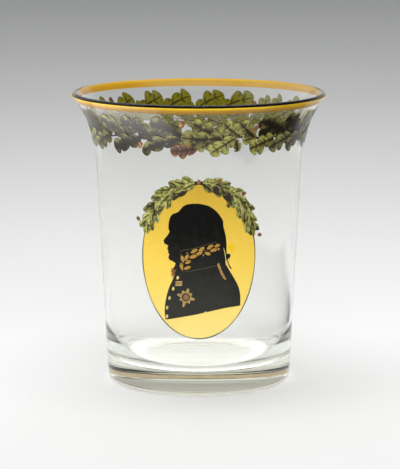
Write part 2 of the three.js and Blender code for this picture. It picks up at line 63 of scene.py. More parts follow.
# In millimetres: how far off the glass the decoration's back lies, and how near two points are to be
# one.
CLEARANCE = 0.03
CLOSE = 1e-4

Colour = tuple[float, float, float, float]
Point = tuple[float, float]


def srgb(red: int, green: int, blue: int) -> Colour:
    """A colour given as it looks on a screen, from 0 to 255, turned into light.

    Args:
        red: Red on the screen.
        green: Green on the screen.
        blue: Blue on the screen.

    Returns:
        The linear colour, solid.
    """

    def light(value: int) -> float:
        """One of the three, as light."""
        share = value / 255
        return share / 12.92 if share <= 0.04045 else ((share + 0.055) / 1.055) ** 2.4

    return (light(red), light(green), light(blue), 1.0)


def lerp(start: float, end: float, share: float) -> float:
    """The value a share of the way from start to end."""
    return start + (end - start) * share


def between(start: float, end: float, steps: int) -> list[float]:
    """Evenly spaced values from start to end, both included."""
    return [lerp(start, end, i / steps) for i in range(steps + 1)]


def heading(start: Point, end: Point) -> float:
    """Which way end lies from start, as an angle."""
    return math.atan2(end[1] - start[1], end[0] - start[0])


class Slot(Enum):
    """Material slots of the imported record."""

    GLASS = "clear_glass"
    BAND = "band_stain"
    OVAL = "oval_stain"
    OAK = "oak_green"
    BROWN = "withered_brown"
    ACORN = "acorn_orange"
    LAUREL = "laurel_green"
    BLACK = "black_enamel"
    GILDING = "gilding"


class Side(Enum):
    """The two halves of the wreath."""

    LEFT = -1
    RIGHT = 1


# Shader arithmetic


class Value:
    """A number that a shader works out at each point, written as plain arithmetic."""

    def __init__(self, book: NodeBook, socket: bpy.types.NodeSocket) -> None:
        """Args: book: the nodes it belongs to. socket: the output that carries it."""
        self.book = book
        self.socket = socket

    def __add__(self, other: Value | float) -> Value:
        """Self plus other."""
        return self.book.math("ADD", self, other)

    __radd__ = __add__

    def __sub__(self, other: Value | float) -> Value:
        """Self less other."""
        return self.book.math("SUBTRACT", self, other)

    def __rsub__(self, other: float) -> Value:
        """Other less self."""
        return self.book.math("SUBTRACT", other, self)

    def __mul__(self, other: Value | float) -> Value:
        """Self times other."""
        return self.book.math("MULTIPLY", self, other)

    __rmul__ = __mul__

    def __abs__(self) -> Value:
        """Self without its sign."""
        return self.book.math("ABSOLUTE", self)

    def fraction(self) -> Value:
        """What is left over a whole number."""
        return self.book.math("FRACT", self)

    def at_least(self, other: Value | float) -> Value:
        """The larger of self and other."""
        return self.book.math("MAXIMUM", self, other)

    def step(self, low: float, high: float) -> Value:
        """A soft step from 0 at low to 1 at high.

        Args:
            low: Where it leaves 0.
            high: Where it reaches 1. It may be the lower number, for a step down.

        Returns:
            The step.
        """
        node = self.book.node(
            "ShaderNodeMapRange",
            {"interpolation_type": "SMOOTHSTEP"},
            {"Value": self, "From Min": low, "From Max": high},
        )
        return Value(self.book, node.outputs["Result"])


class NodeBook:
    """The nodes of one material or of the world."""

    def __init__(self, tree: bpy.types.NodeTree) -> None:
        """Args: tree: the tree to fill, emptied first."""
        self.tree = tree
        tree.nodes.clear()

    def node(
        self,
        kind: str,
        settings: dict[str, object] | None = None,
        inputs: dict[str | int, object] | None = None,
    ) -> bpy.types.Node:
        """Adds a node.

        Args:
            kind: The node's type.
            settings: Its own settings, set first. "stops" holds a colour ramp's stops.
            inputs: Values or links of its sockets, by name or by number.

        Returns:
            The node.
        """
        made = self.tree.nodes.new(kind)
        for name, setting in (settings or {}).items():
            if name == "stops":
                self._set_stops(made.color_ramp, setting)
            else:
                setattr(made, name, setting)
        for key, given in (inputs or {}).items():
            source = given.socket if isinstance(given, Value) else given
            if isinstance(source, bpy.types.NodeSocket):
                self.tree.links.new(source, made.inputs[key])
            else:
                made.inputs[key].default_value = source
        return made

    @staticmethod
    def _set_stops(ramp: bpy.types.ColorRamp, stops: Sequence[tuple[float, Colour]]) -> None:
        """Fills a ramp.

        Args:
            ramp: The ramp.
            stops: Its places and colours, in order.
        """
        while len(ramp.elements) < len(stops):
            ramp.elements.new(1.0)
        for element, (place, colour) in zip(ramp.elements, stops):
            element.position = place
            element.color = colour

    def math(self, operation: str, *values: Value | float) -> Value:
        """The result of a Math node on one or two values."""
        made = self.node("ShaderNodeMath", {"operation": operation}, dict(enumerate(values)))
        return Value(self, made.outputs[0])

    def attribute(self, name: str) -> Value:
        """A number that the mesh carries at each point."""
        made = self.node("ShaderNodeAttribute", {"attribute_name": name})
        return Value(self, made.outputs["Fac"])

    def place(self) -> tuple[Value, Value, Value]:
        """Where a point is in the row frame, in metres.

        Returns:
            Its x, y and z.
        """
        coordinate = self.node("ShaderNodeTexCoord")
        parts = self.node("ShaderNodeSeparateXYZ", inputs={0: coordinate.outputs["Object"]})
        return tuple(Value(self, output) for output in parts.outputs)

    def noise(self, scale: float, detail: float = 2.0) -> Value:
        """Noise in the row frame.

        Args:
            scale: Spots in a metre.
            detail: How many finer layers it has.

        Returns:
            The noise, from 0 to 1.
        """
        coordinate = self.node("ShaderNodeTexCoord")
        inputs = {"Vector": coordinate.outputs["Object"], "Scale": scale, "Detail": detail}
        return Value(self, self.node("ShaderNodeTexNoise", inputs=inputs).outputs[0])

    def ramp(self, factor: Value, stops: Sequence[tuple[float, Colour]]) -> bpy.types.NodeSocket:
        """A colour read off a ramp.

        Args:
            factor: Where to read it, from 0 to 1.
            stops: The ramp's places and colours.

        Returns:
            The colour's socket.
        """
        return self.node("ShaderNodeValToRGB", {"stops": stops}, {0: factor}).outputs[0]

    def mix(
        self,
        factor: Value | float,
        first: bpy.types.NodeSocket | Colour,
        second: bpy.types.NodeSocket | Colour,
    ) -> bpy.types.NodeSocket:
        """A blend of two colours.

        Args:
            factor: 0 gives the first, 1 the second.
            first: A colour or its socket.
            second: A colour or its socket.

        Returns:
            The blend's socket.
        """
        at_factor, at_first, at_second, at_blend = 0, 6, 7, 2
        inputs = {at_factor: factor, at_first: first, at_second: second}
        return self.node("ShaderNodeMix", {"data_type": "RGBA"}, inputs).outputs[at_blend]

    def principled(self, inputs: dict[str | int, object]) -> bpy.types.NodeSocket:
        """The Principled shader, with these values or links in its sockets."""
        return self.node("ShaderNodeBsdfPrincipled", inputs=inputs).outputs[0]


# Finishes


@dataclass(frozen=True)
class Finish:
    """A surface's look, made into a material once. Its name is none of the frame's own slot names."""

    name: str

    def material(self) -> bpy.types.Material:
        """The finish's material, made the first time it is asked for.

        Returns:
            The material.
        """
        found = bpy.data.materials.get(self.name)
        if found:
            return found
        made = bpy.data.materials.new(self.name)
        made.use_nodes = True
        book = NodeBook(made.node_tree)
        sockets = {"Surface": self.surface(book)}
        inside = self.volume(book)
        if inside:
            sockets["Volume"] = inside
        book.node("ShaderNodeOutputMaterial", inputs=sockets)
        return made

    def surface(self, book: NodeBook) -> bpy.types.NodeSocket:
        """The shader's socket. Each finish makes its own."""
        raise NotImplementedError

    def volume(self, book: NodeBook) -> bpy.types.NodeSocket | None:
        """What light meets inside the piece, if anything."""
        return None


@dataclass(frozen=True)
class ClearGlass(Finish):
    """Polished glass, which lets most light through to what it shades."""

    tint: Colour = srgb(254, 254, 253)
    shade: Colour = srgb(254, 254, 254)
    ior: float = 1.5
    depth_tint: Colour = (0.9, 0.92, 0.4, 1.0)
    depth_density: float = 4.5

    def volume(self, book: NodeBook) -> bpy.types.NodeSocket:
        """A faint green that shows only where the glass is thick."""
        inputs = {"Color": self.depth_tint, "Density": self.depth_density}
        return book.node("ShaderNodeVolumeAbsorption", inputs=inputs).outputs[0]

    def surface(self, book: NodeBook) -> bpy.types.NodeSocket:
        """Refracts what the eye sees, and thins the shadow."""
        inputs = {"Base Color": self.tint, "Roughness": 0.0, "IOR": self.ior, "Transmission Weight": 1.0}
        return shadow_mix(book, book.principled(inputs), self.shade)


def spread(colours: Sequence[Colour]) -> list[tuple[float, Colour]]:
    """Colours set evenly along a ramp."""
    return [(i / (len(colours) - 1), colour) for i, colour in enumerate(colours)]


def shadow_mix(book: NodeBook, seen: bpy.types.NodeSocket, shade: Colour) -> bpy.types.NodeSocket:
    """A shader that casts only a tinted shadow.

    Args:
        book: The material's nodes.
        seen: The shader that is seen.
        shade: The colour of the light that gets through.

    Returns:
        The mixed shader's socket.
    """
    path = book.node("ShaderNodeLightPath")
    through = book.node("ShaderNodeBsdfTransparent", inputs={"Color": shade})
    inputs = {0: path.outputs["Is Shadow Ray"], 1: seen, 2: through.outputs[0]}
    return book.node("ShaderNodeMixShader", inputs=inputs).outputs[0]


@dataclass(frozen=True)
class Stain(Finish):
    """Transparent yellow fired into the glass, its tint following the height.

    It gives off a little painted light, as if lit from behind. Its measures are in millimetres.
    """

    low: float
    high: float
    colours: tuple[Colour, ...]
    streaks: float = 0.0
    streak_scale: float = 60.0
    blot: Point | None = None
    blot_core: float = 0.4
    blot_edge: float = 1.5
    blot_squash: float = 0.7
    blot_colour: Colour = srgb(240, 208, 20)
    at_back: Colour | None = None
    back_strength: float = 0.8
    clearness: float = 1.0
    # How much painted light the stain gives off, as if lit from behind.
    painted_glow: float = 0.0
    ior: float = 1.2

    def surface(self, book: NodeBook) -> bpy.types.NodeSocket:
        """A tint that follows the height, with faint streaks, and a deeper blot or back if it has one. It
        gives off painted light.

        Args:
            book: The material's nodes.

        Returns:
            The shader's socket.
        """
        x, y, height = book.place()
        share = (height - self.low * METRES) * (1 / ((self.high - self.low) * METRES))
        share = share + (book.noise(self.streak_scale) - 0.5) * self.streaks
        tint = book.ramp(share, spread(self.colours))
        if self.blot:
            aside = x - self.blot[0] * METRES
            above = (height - self.blot[1] * METRES) * self.blot_squash
            blot = book.math("SQRT", aside * aside + above * above)
            blot = blot.step(self.blot_edge * METRES, self.blot_core * METRES)
            tint = book.mix(blot, tint, self.blot_colour)
        # The back half turns towards one colour, free of the height's painted shade and light.
        if self.at_back:
            behind = y.step(-10 * METRES, 20 * METRES) * self.back_strength
            tint = book.mix(behind, tint, self.at_back)
        inputs = {
            "Base Color": tint,
            "Roughness": 0.02,
            "IOR": self.ior,
            "Transmission Weight": self.clearness,
            # Painted light: the stain gives off its own tint.
            "Emission Color": tint,
            "Emission Strength": self.painted_glow,
        }
        return shadow_mix(book, book.principled(inputs), self.colours[len(self.colours) // 2])


@dataclass(frozen=True)
class LeafEnamel(Finish):
    """Painted leaf enamel: each leaf has its own tone, dark veins and outline, and lit lobes."""

    colours: tuple[Colour, ...]
    line: Colour
    # The enamel as seen from the glass side: partly its own colour, partly painted light, as saturated as
    # light shining through it.
    back: Colour
    lobes: int
    vein_lean: float = 0.45
    vein_width: float = 0.13
    rib_width: float = 0.2
    edge: Colour | None = None
    strands: float = 0.0
    grain_scale: float = 1100.0
    patch_scale: float = 330.0
    line_strength: float = 0.85
    roughness: float = 0.25

    def drawn(self, along: Value, side: Value, phase: Value, grain: Value, patches: Value) -> Value:
        """The painter's lines: veins, midrib, outline, the notches between lobes, and strands.

        Args:
            along: How far along its leaf a point is, from 0 to 1.
            side: How far from the midrib, from 0 to 1 at the edge.
            phase: How far from the nearest vein, from 0 to a half between two.
            grain: Fine noise.
            patches: Coarse noise.

        Returns:
            How much of a line there is, from 0 to 1.
        """
        vein = phase.step(self.vein_width, self.vein_width * 0.3) * side.step(0.75, 0.4)
        notch = phase.step(0.5 - self.vein_width * 0.9, 0.5) * side.step(0.25, 0.6) * 0.8
        midrib = (side + along * 0.08).step(self.rib_width, self.rib_width * 0.45)
        rim = side.step(0.84, 1.0) * grain.step(0.25, 0.5) * 0.85
        lines = vein.at_least(midrib).at_least(rim).at_least(notch)
        if self.strands:
            strand = abs((side * self.strands + (patches - 0.5) * 1.2).fraction() - 0.5)
            strand = strand.step(0.2, 0.06) * grain.step(0.3, 0.5)
            specks = grain.step(0.48, 0.4) * side.step(0.1, 0.4)
            lines = lines.at_least(strand * 0.9).at_least(specks * 0.9)
        return lines

    def surface(self, book: NodeBook) -> bpy.types.NodeSocket:
        """Reads where a point is on its leaf from the mesh.

        Args:
            book: The material's nodes.

        Returns:
            The shader's socket.
        """
        along, across, inner = (book.attribute(name) for name in ("along", "across", "inner"))
        side = abs(across)
        grain, patches = book.noise(self.grain_scale), book.noise(self.patch_scale)
        phase = abs((along * self.lobes + (1 - side) * self.vein_lean).fraction() - 0.5)
        lit = (0.5 - phase) * side.step(0.15, 0.6) * 0.4 + side.step(0.0, 0.5) * 0.22 + along * 0.18
        mottle = (grain - 0.5) * 0.6 + (patches - 0.5) * 0.9
        tone = book.attribute("tone") + lit + across * 0.14 + mottle - 0.38
        # Faces towards the glass take the back colour, with its painted light shining through.
        body = book.mix(inner, book.ramp(tone, spread(self.colours)), self.back)
        if self.edge:
            body = book.mix(side.step(0.5, 0.85) * grain.step(0.35, 0.6), body, self.edge)
        lines = self.drawn(along, side, phase, grain, patches) * self.line_strength
        colour = book.mix(lines, body, self.line)
        inputs = {"Base Color": colour, "Roughness": self.roughness, "Specular IOR Level": 0.4}
        return book.principled(inputs)


@dataclass(frozen=True)
class Enamel(Finish):
    """Plain enamel with a slight mottle. It can turn paler from one height down to another.

    Its heights and the depth of its skin are in millimetres.
    """

    dark: Colour
    light: Colour
    roughness: float = 0.2
    grain: float = 700.0
    specular: float = 0.5
    paler: tuple[float, float] | None = None
    skin_depth: float = 0.05
    skin_strength: float = 0.05

    def surface(self, book: NodeBook) -> bpy.types.NodeSocket:
        """A mottle between two colours, and a skin that is not quite even.

        Args:
            book: The material's nodes.

        Returns:
            The shader's socket.
        """
        mottle = book.noise(self.grain, 3.0).step(0.3, 0.75)
        blend = mottle
        if self.paler:
            high, low = self.paler
            blend = book.place()[2].step(high * METRES, low * METRES) + (mottle - 0.5) * 0.15
        colour = book.mix(blend, self.dark, self.light)
        skin = {"Strength": self.skin_strength, "Distance": self.skin_depth * METRES, "Height": mottle}
        bump = book.node("ShaderNodeBump", inputs=skin)
        inputs = {
            "Base Color": colour,
            "Roughness": self.roughness,
            "Specular IOR Level": self.specular,
            "Normal": bump.outputs[0],
        }
        return book.principled(inputs)


@dataclass(frozen=True)
class Gilding(Finish):
    """Fired gold, burnished, a little rubbed. A leaf in it can have a dark midrib and edge."""

    gold: Colour
    rubbed: Colour
    veined: bool = False
    metallic: float = 0.45
    burnished: float = 0.4
    worn: float = 0.6

    def surface(self, book: NodeBook) -> bpy.types.NodeSocket:
        """Gold with darker, rougher rubbed spots.

        Args:
            book: The material's nodes.

        Returns:
            The shader's socket.
        """
        wear = book.noise(1400.0, 3.0).step(0.5, 0.75)
        if self.veined:
            side = abs(book.attribute("across"))
            midrib, edge = side.step(0.16, 0.04) * 0.7, side.step(0.7, 1.0)
            wear = wear.at_least(midrib).at_least(edge)
        colour = book.mix(wear, self.gold, self.rubbed)
        roughness = wear * (self.worn - self.burnished) + self.burnished
        inputs = {"Base Color": colour, "Metallic": self.metallic, "Roughness": roughness}
        return book.principled(inputs)


CLEAR = ClearGlass("polished_clear_glass")
# The band runs from brownish at its foot to bright yellow at its top: painted shade and light for what the
# front shows through the glass. At the back, at_back turns it to one golden colour.
BAND_STAIN = Stain(
    "fired_band_stain",
    98.5,
    101.2,
    (srgb(160, 130, 84), srgb(202, 162, 66), srgb(255, 224, 34)),
    streaks=0.4,
    at_back=srgb(222, 180, 36),
    clearness=0.6,
    painted_glow=0.1,
)
OVAL_STAIN = Stain(
    "fired_oval_stain",
    20.0,
    75.0,
    (srgb(252, 236, 162), srgb(250, 226, 126), srgb(247, 218, 102), srgb(232, 202, 82), srgb(214, 184, 70)),
    streaks=0.06,
    blot=(11.1, 52.5),
    clearness=0.7,
    painted_glow=0.12,
)
OAK = LeafEnamel(
    "oak_enamel",
    (srgb(30, 26, 14), srgb(76, 70, 38), srgb(130, 124, 68), srgb(162, 160, 82), srgb(184, 184, 100)),
    srgb(38, 28, 18),
    back=srgb(150, 146, 24),
    lobes=3,
    vein_width=0.16,
    rib_width=0.23,
)
BROWN = LeafEnamel(
    "brown_enamel",
    (srgb(64, 44, 36), srgb(104, 74, 62), srgb(136, 102, 86)),
    srgb(44, 28, 20),
    back=srgb(110, 70, 34),
    lobes=3,
    edge=srgb(186, 116, 60),
)
LAUREL = LeafEnamel(
    "laurel_enamel",
    (srgb(44, 34, 22), srgb(110, 106, 46), srgb(170, 170, 80), srgb(206, 206, 106), srgb(228, 226, 138)),
    srgb(38, 28, 16),
    back=srgb(150, 156, 60),
    lobes=2,
    vein_lean=1.2,
    rib_width=0.3,
    strands=2.0,
)
BUD = Enamel("bud_enamel", srgb(52, 52, 20), srgb(92, 86, 34), 0.3)
ACORN = Enamel("acorn_enamel", srgb(92, 58, 26), srgb(190, 136, 76), 0.3, 1100.0)
BERRY = Enamel("berry_enamel", srgb(96, 58, 40), srgb(186, 126, 76), 0.3, 1100.0)
BLACK = Enamel(
    "fired_black_enamel", srgb(10, 9, 8), srgb(60, 60, 56), 0.18, 400.0, specular=0.1, paler=(62.0, 28.0)
)
LINE = Enamel("line_enamel", srgb(52, 56, 48), srgb(80, 84, 72), 0.3)
GOLD = Gilding("fired_gold", srgb(212, 172, 88), srgb(134, 94, 42))
LEAF_GOLD = Gilding("fired_leaf_gold", srgb(214, 170, 76), srgb(112, 74, 30), veined=True)
STAR_GOLD = Gilding("star_gold", srgb(196, 170, 104), srgb(140, 112, 60))
RUBBED_GOLD = Gilding("rubbed_gold", srgb(204, 158, 96), srgb(144, 102, 56))
BAR_GOLD = Gilding("bar_gold", srgb(214, 180, 136), srgb(160, 126, 86))
BROWN_GOLD = Gilding("brown_gold", srgb(150, 108, 52), srgb(104, 66, 32))
OLIVE_GOLD = Gilding("olive_gold", srgb(178, 154, 72), srgb(136, 112, 56))
FAINT_GOLD = Gilding("faint_gold", srgb(98, 90, 60), srgb(52, 48, 34))
DARK_GOLD = Gilding("dark_gold", srgb(106, 72, 44), srgb(70, 46, 30))
MIDDLE_GOLD = Gilding("middle_gold", srgb(160, 124, 92), srgb(116, 92, 52))
PALE_GOLD = Gilding("pale_gold", srgb(252, 232, 146), srgb(204, 168, 88))


# The glass


@dataclass(frozen=True)
class GlassForm:
    """The beaker's glass: its sizes in millimetres and the curve of its wall."""

    height: float = 101.97
    foot_radius: float = 31.95
    taper: float = 0.0515
    flare_height: float = 31.0
    flare_reach: float = 7.9
    flare_power: float = 3.3
    lip_thickness: float = 1.8
    wall: float = 1.7
    base: float = 8.0
    heel_radius: float = 2.8
    corner_width: float = 7.0
    corner_height: float = 15.0
    hollow_radius: float = 20.0
    hollow_depth: float = 0.4

    def flare_share(self, z: float) -> float:
        """How far up the flare a height is, from 0 to 1 at the lip."""
        return max(0.0, z - self.height + self.flare_height) / self.flare_height

    def radius(self, z: float) -> float:
        """Outer radius at a height."""
        flare = self.flare_reach * self.flare_share(z) ** self.flare_power
        return self.foot_radius + self.taper * z + flare

    def lean(self, z: float) -> float:
        """How far the outer wall leans outwards at a height, as an angle."""
        rise = self.flare_share(z) ** (self.flare_power - 1)
        return math.atan(self.taper + self.flare_power * self.flare_reach * rise / self.flare_height)

    def off_wall(self, z: float, out: float) -> Point:
        """A point a way out from the wall, square to it.

        Args:
            z: The height on the wall.
            out: The way out, in millimetres.

        Returns:
            The point's radius and height.
        """
        lean = self.lean(z)
        return self.radius(z) + out * math.cos(lean), z - out * math.sin(lean)

    @property
    def lip_seam(self) -> float:
        """The height where the wall turns into the rounded lip."""
        lean = self.lean(self.height - self.lip_thickness / 2)
        return self.height - self.lip_thickness / 2 * (1 + math.sin(lean))


def arc(centre: Point, half: Point, start: float, end: float, steps: int) -> list[Point]:
    """Points of an ellipse's arc, both ends included.

    Args:
        centre: The ellipse's centre.
        half: Its half-width and half-height.
        start: The first angle, in radians.
        end: The last angle.
        steps: How many stretches the arc has.

    Returns:
        The points.
    """
    angles = between(start, end, steps)
    return [(centre[0] + half[0] * math.cos(a), centre[1] + half[1] * math.sin(a)) for a in angles]


@dataclass
class Piece:
    """A mesh in the making, which becomes one named piece of the model."""

    name: str
    finish: Finish
    slot: Slot
    nodes: tuple[str, ...] = ()
    mesh: bmesh.types.BMesh = field(default_factory=bmesh.new)

    def finished(self, sharp: float = 40.0) -> None:
        """Closes the mesh, dresses it and puts it on the frame.

        Args:
            sharp: The angle in degrees past which an edge stays sharp.
        """
        bmesh.ops.remove_doubles(self.mesh, verts=self.mesh.verts[:], dist=CLOSE)
        bmesh.ops.dissolve_degenerate(self.mesh, edges=self.mesh.edges[:], dist=CLOSE)
        bmesh.ops.recalc_face_normals(self.mesh, faces=self.mesh.faces[:])
        bmesh.ops.scale(self.mesh, vec=(METRES,) * 3, verts=self.mesh.verts[:])
        for face in self.mesh.faces:
            face.smooth = True
        data = bpy.data.meshes.new(self.name)
        self.mesh.to_mesh(data)
        self.mesh.free()
        data.set_sharp_from_angle(angle=math.radians(sharp))
        data.materials.append(self.finish.material())
        made = bpy.data.objects.new(self.name, data)
        bpy.context.scene.collection.objects.link(made)
        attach(made, BODY)
        if self.nodes:
            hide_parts(*self.nodes)
        LOG.info("%s: %d faces", self.name, len(data.polygons))


def spun(piece: Piece, profile: Sequence[Point], closed: bool, steps: int) -> None:
    """Turns a profile into a body of revolution about Z.

    Args:
        piece: The piece that gets it.
        profile: Radius and height of each point.
        closed: Whether the last point joins the first.
        steps: Facets round the body.
    """
    mesh = piece.mesh
    verts = [mesh.verts.new((r, 0.0, z)) for r, z in profile]
    edges = [mesh.edges.new(pair) for pair in zip(verts, verts[1:])]
    if closed:
        edges.append(mesh.edges.new((verts[-1], verts[0])))
    bmesh.ops.spin(
        mesh,
        geom=[*verts, *edges],
        cent=(0, 0, 0),
        axis=(0, 0, 1),
        dvec=(0, 0, 0),
        angle=2 * math.pi,
        steps=steps,
        use_merge=True,
        use_normal_flip=False,
        use_duplicate=False,
    )


@dataclass
class Vessel:
    """The clear glass itself."""

    form: GlassForm
    steps: int = 192
    hollow_steps: int = 12
    heel_steps: int = 12
    straight_steps: int = 6
    flare_steps: int = 24
    lip_steps: int = 14
    corner_steps: int = 20

    def profile(self) -> list[Point]:
        """The profile from the middle of the underside, round the lip and down to the inner floor.

        Returns:
            Radius and height of each point.
        """
        form, quarter = self.form, math.pi / 2
        flare_start = form.height - form.flare_height
        shares = between(0, 1, self.hollow_steps)
        hollow = [(form.hollow_radius * t, form.hollow_depth * (1 - t * t)) for t in shares]
        heel_centre = (form.radius(form.heel_radius) - form.heel_radius, form.heel_radius)
        heel = arc(heel_centre, (form.heel_radius,) * 2, -quarter, 0, self.heel_steps)
        straight = between(form.heel_radius, flare_start, self.straight_steps)[1:]
        flare = between(flare_start, form.lip_seam, self.flare_steps)[1:]
        outside = [form.off_wall(z, 0) for z in (*straight, *flare)]
        lip_radius = form.lip_thickness / 2
        lip_centre = form.off_wall(form.lip_seam, -lip_radius)
        lean = form.lean(form.height - lip_radius)
        lip = arc(lip_centre, (lip_radius, lip_radius), -lean, math.pi - lean, self.lip_steps)
        walls = [lerp(form.wall, form.lip_thickness, form.flare_share(z)) for z in flare]
        inside = [form.off_wall(z, -wall) for z, wall in zip(flare, walls)][::-1]
        inner = between(flare_start, form.base + form.corner_height, self.straight_steps)
        inner = [form.off_wall(z, -form.wall) for z in inner]
        foot_r, foot_z = inner[-1]
        corner_half = (form.corner_width, foot_z - form.base)
        corner = arc((foot_r - form.corner_width, foot_z), corner_half, 0, -quarter, self.corner_steps)
        return [*hollow, *heel, *outside, *lip[1:-1], *inside, *inner, *corner[1:], (0.0, form.base)]

    def build(self) -> None:
        """The glass, spun from its profile."""
        piece = Piece("glass_vessel", CLEAR, Slot.GLASS, ("vessel",))
        spun(piece, self.profile(), closed=False, steps=self.steps)
        piece.finished(sharp=180.0)


@dataclass
class RimBand:
    """The yellow-stained band under the lip."""

    form: GlassForm
    height: float = 2.2
    lip_margin: float = 0.9
    lift: float = CLEARANCE
    film: float = 0.05
    steps: int = 192
    rings: int = 10

    @property
    def top(self) -> float:
        """The band's upper edge."""
        return self.form.height - self.lip_margin

    @property
    def foot(self) -> float:
        """The band's lower edge."""
        return self.top - self.height

    def build(self) -> None:
        """The band, a thin ring that hugs the wall."""
        piece = Piece("stained_rim_band", BAND_STAIN, Slot.BAND, ("rim_band",))
        heights = between(self.foot, self.top, self.rings)
        front = [self.form.off_wall(z, self.lift + self.film) for z in heights]
        back = [self.form.off_wall(z, self.lift) for z in reversed(heights)]
        spun(piece, [*front, *back], closed=True, steps=self.steps)
        piece.finished()


# Flat shapes, and wrapping them round the wall


class Flat:
    """A flat shape in the making, in its own bmesh, before it is wrapped and joined to a piece."""

    seat = CLEARANCE

    def __init__(self) -> None:
        """Starts an empty shape that can carry leaf coordinates."""
        self.mesh = bmesh.new()
        layers = self.mesh.verts.layers.float
        self.along = layers.new("along")
        self.across = layers.new("across")
        self.tone = layers.new("tone")
        self.inner = layers.new("inner")

    def grid(
        self,
        columns: int,
        rows: int,
        to_point: Callable[[float, float], Point],
        tone: float = 0.5,
        upper_side: int = 1,
    ) -> Flat:
        """Fills the shape with a grid that a rule bends.

        Args:
            columns: Stretches from 0 to 1 along it.
            rows: Stretches from -1 to 1 across it.
            to_point: Gives the flat point for a share along and a share across.
            tone: The leaf's own shade, from 0 to 1.
            upper_side: Which side of it is the upper one on the wall, 1 or -1.

        Returns:
            Itself.
        """
        made = bmesh.ops.create_grid(self.mesh, x_segments=columns, y_segments=rows, size=1.0)
        for vert in made["verts"]:
            along, across = (vert.co.x + 1) / 2, vert.co.y
            vert[self.along], vert[self.across], vert[self.tone] = along, across * upper_side, tone
            x, y = to_point(along, across)
            vert.co = (x, y, 0.0)
        return self

    def outline(self, points: Sequence[Point]) -> Flat:
        """Fills a closed outline.

        Args:
            points: Its corners, in order.

        Returns:
            Itself.
        """
        verts = [self.mesh.verts.new((x, y, 0.0)) for x, y in points]
        face = self.mesh.faces.new(verts)
        bmesh.ops.triangulate(self.mesh, faces=[face], quad_method="BEAUTY", ngon_method="BEAUTY")
        return self

    def oval(self, centre: Point, half: Point, segments: int = 128) -> Flat:
        """Fills an ellipse.

        Args:
            centre: Its centre.
            half: Its half-width and half-height.
            segments: Its corners.

        Returns:
            Itself.
        """
        made = bmesh.ops.create_circle(
            self.mesh, cap_ends=True, cap_tris=True, segments=segments, radius=1.0
        )
        place = Matrix.Translation((*centre, 0.0)) @ Matrix.Diagonal((*half, 1.0, 1.0))
        bmesh.ops.transform(self.mesh, matrix=place, verts=made["verts"])
        return self

    def sliced(self, spacing: float) -> Flat:
        """Cuts the faces into upright and level strips, so that the shape can bend.

        Args:
            spacing: The upright strips' width. The level ones are three times as wide.

        Returns:
            Itself.
        """
        for axis, step in ((Vector((1, 0, 0)), spacing), (Vector((0, 1, 0)), 3 * spacing)):
            reach = [vert.co.dot(axis) for vert in self.mesh.verts]
            for i in range(math.ceil(min(reach) / step), math.floor(max(reach) / step) + 1):
                geometry = [*self.mesh.verts, *self.mesh.edges, *self.mesh.faces]
                cut = axis * step * i
                bmesh.ops.bisect_plane(self.mesh, geom=geometry, plane_co=cut, plane_no=axis, dist=1e-5)
        return self

    def thickened(self, low: float, high: float) -> Flat:
        """Turns the flat sheet into a closed plate.

        Args:
            low: How far its back stands out from the glass.
            high: How far its front does.

        Returns:
            Itself.
        """
        bmesh.ops.translate(self.mesh, vec=(0, 0, low), verts=self.mesh.verts[:])
        made = bmesh.ops.extrude_face_region(self.mesh, geom=self.mesh.faces[:])
        front = [item for item in made["geom"] if isinstance(item, bmesh.types.BMVert)]
        bmesh.ops.translate(self.mesh, vec=(0, 0, high - low), verts=front)
        middle = (low + high) / 2
        for vert in self.mesh.verts:
            vert[self.inner] = 1.0 if vert.co.z < middle else 0.0
        return self

    def dome(self, centre: Point, half: tuple[float, float, float], turn: float = 0.0) -> Flat:
        """Adds a low round boss, flat at the back.

        Args:
            centre: Its middle.
            half: Its half-width, half-length and height.
            turn: How far it is turned, in radians.

        Returns:
            Itself.
        """
        made = bmesh.ops.create_uvsphere(self.mesh, u_segments=16, v_segments=10, radius=1.0)
        shaped = Matrix.Rotation(turn, 4, "Z") @ Matrix.Diagonal((*half, 1.0))
        place = Matrix.Translation((*centre, self.seat)) @ shaped
        bmesh.ops.transform(self.mesh, matrix=place, verts=made["verts"])
        for vert in made["verts"]:
            vert.co.z = max(vert.co.z, self.seat)
        return self


@dataclass(frozen=True)
class Wrap:
    """Where flat shapes go on the wall."""

    form: GlassForm
    flat_radius: float
    zero_angle: float = 0.0

    def lay(self, flat: Flat, piece: Piece) -> None:
        """Bends a flat shape round the wall and joins it to a piece.

        Args:
            flat: The shape, used up by this.
            piece: The piece that gets it.
        """
        for vert in flat.mesh.verts:
            angle = self.zero_angle + vert.co.x / self.flat_radius
            radius, height = self.form.off_wall(vert.co.y, vert.co.z)
            vert.co = (radius * math.sin(angle), -radius * math.cos(angle), height)
        bmesh.ops.recalc_face_normals(flat.mesh, faces=flat.mesh.faces[:])
        carrier = bpy.data.meshes.new("carrier")
        flat.mesh.to_mesh(carrier)
        flat.mesh.free()
        piece.mesh.from_mesh(carrier)
        bpy.data.meshes.remove(carrier)


def turned(point: Point, angle: float, at: Point) -> Point:
    """A point turned about the origin and then moved."""
    c, s = math.cos(angle), math.sin(angle)
    return point[0] * c - point[1] * s + at[0], point[0] * s + point[1] * c + at[1]


def uneven(first: float, second: float) -> float:
    """A little unevenness from -1 to 1, the same each time."""
    return math.sin(2.4 * first + 1.9 * second + 0.7)


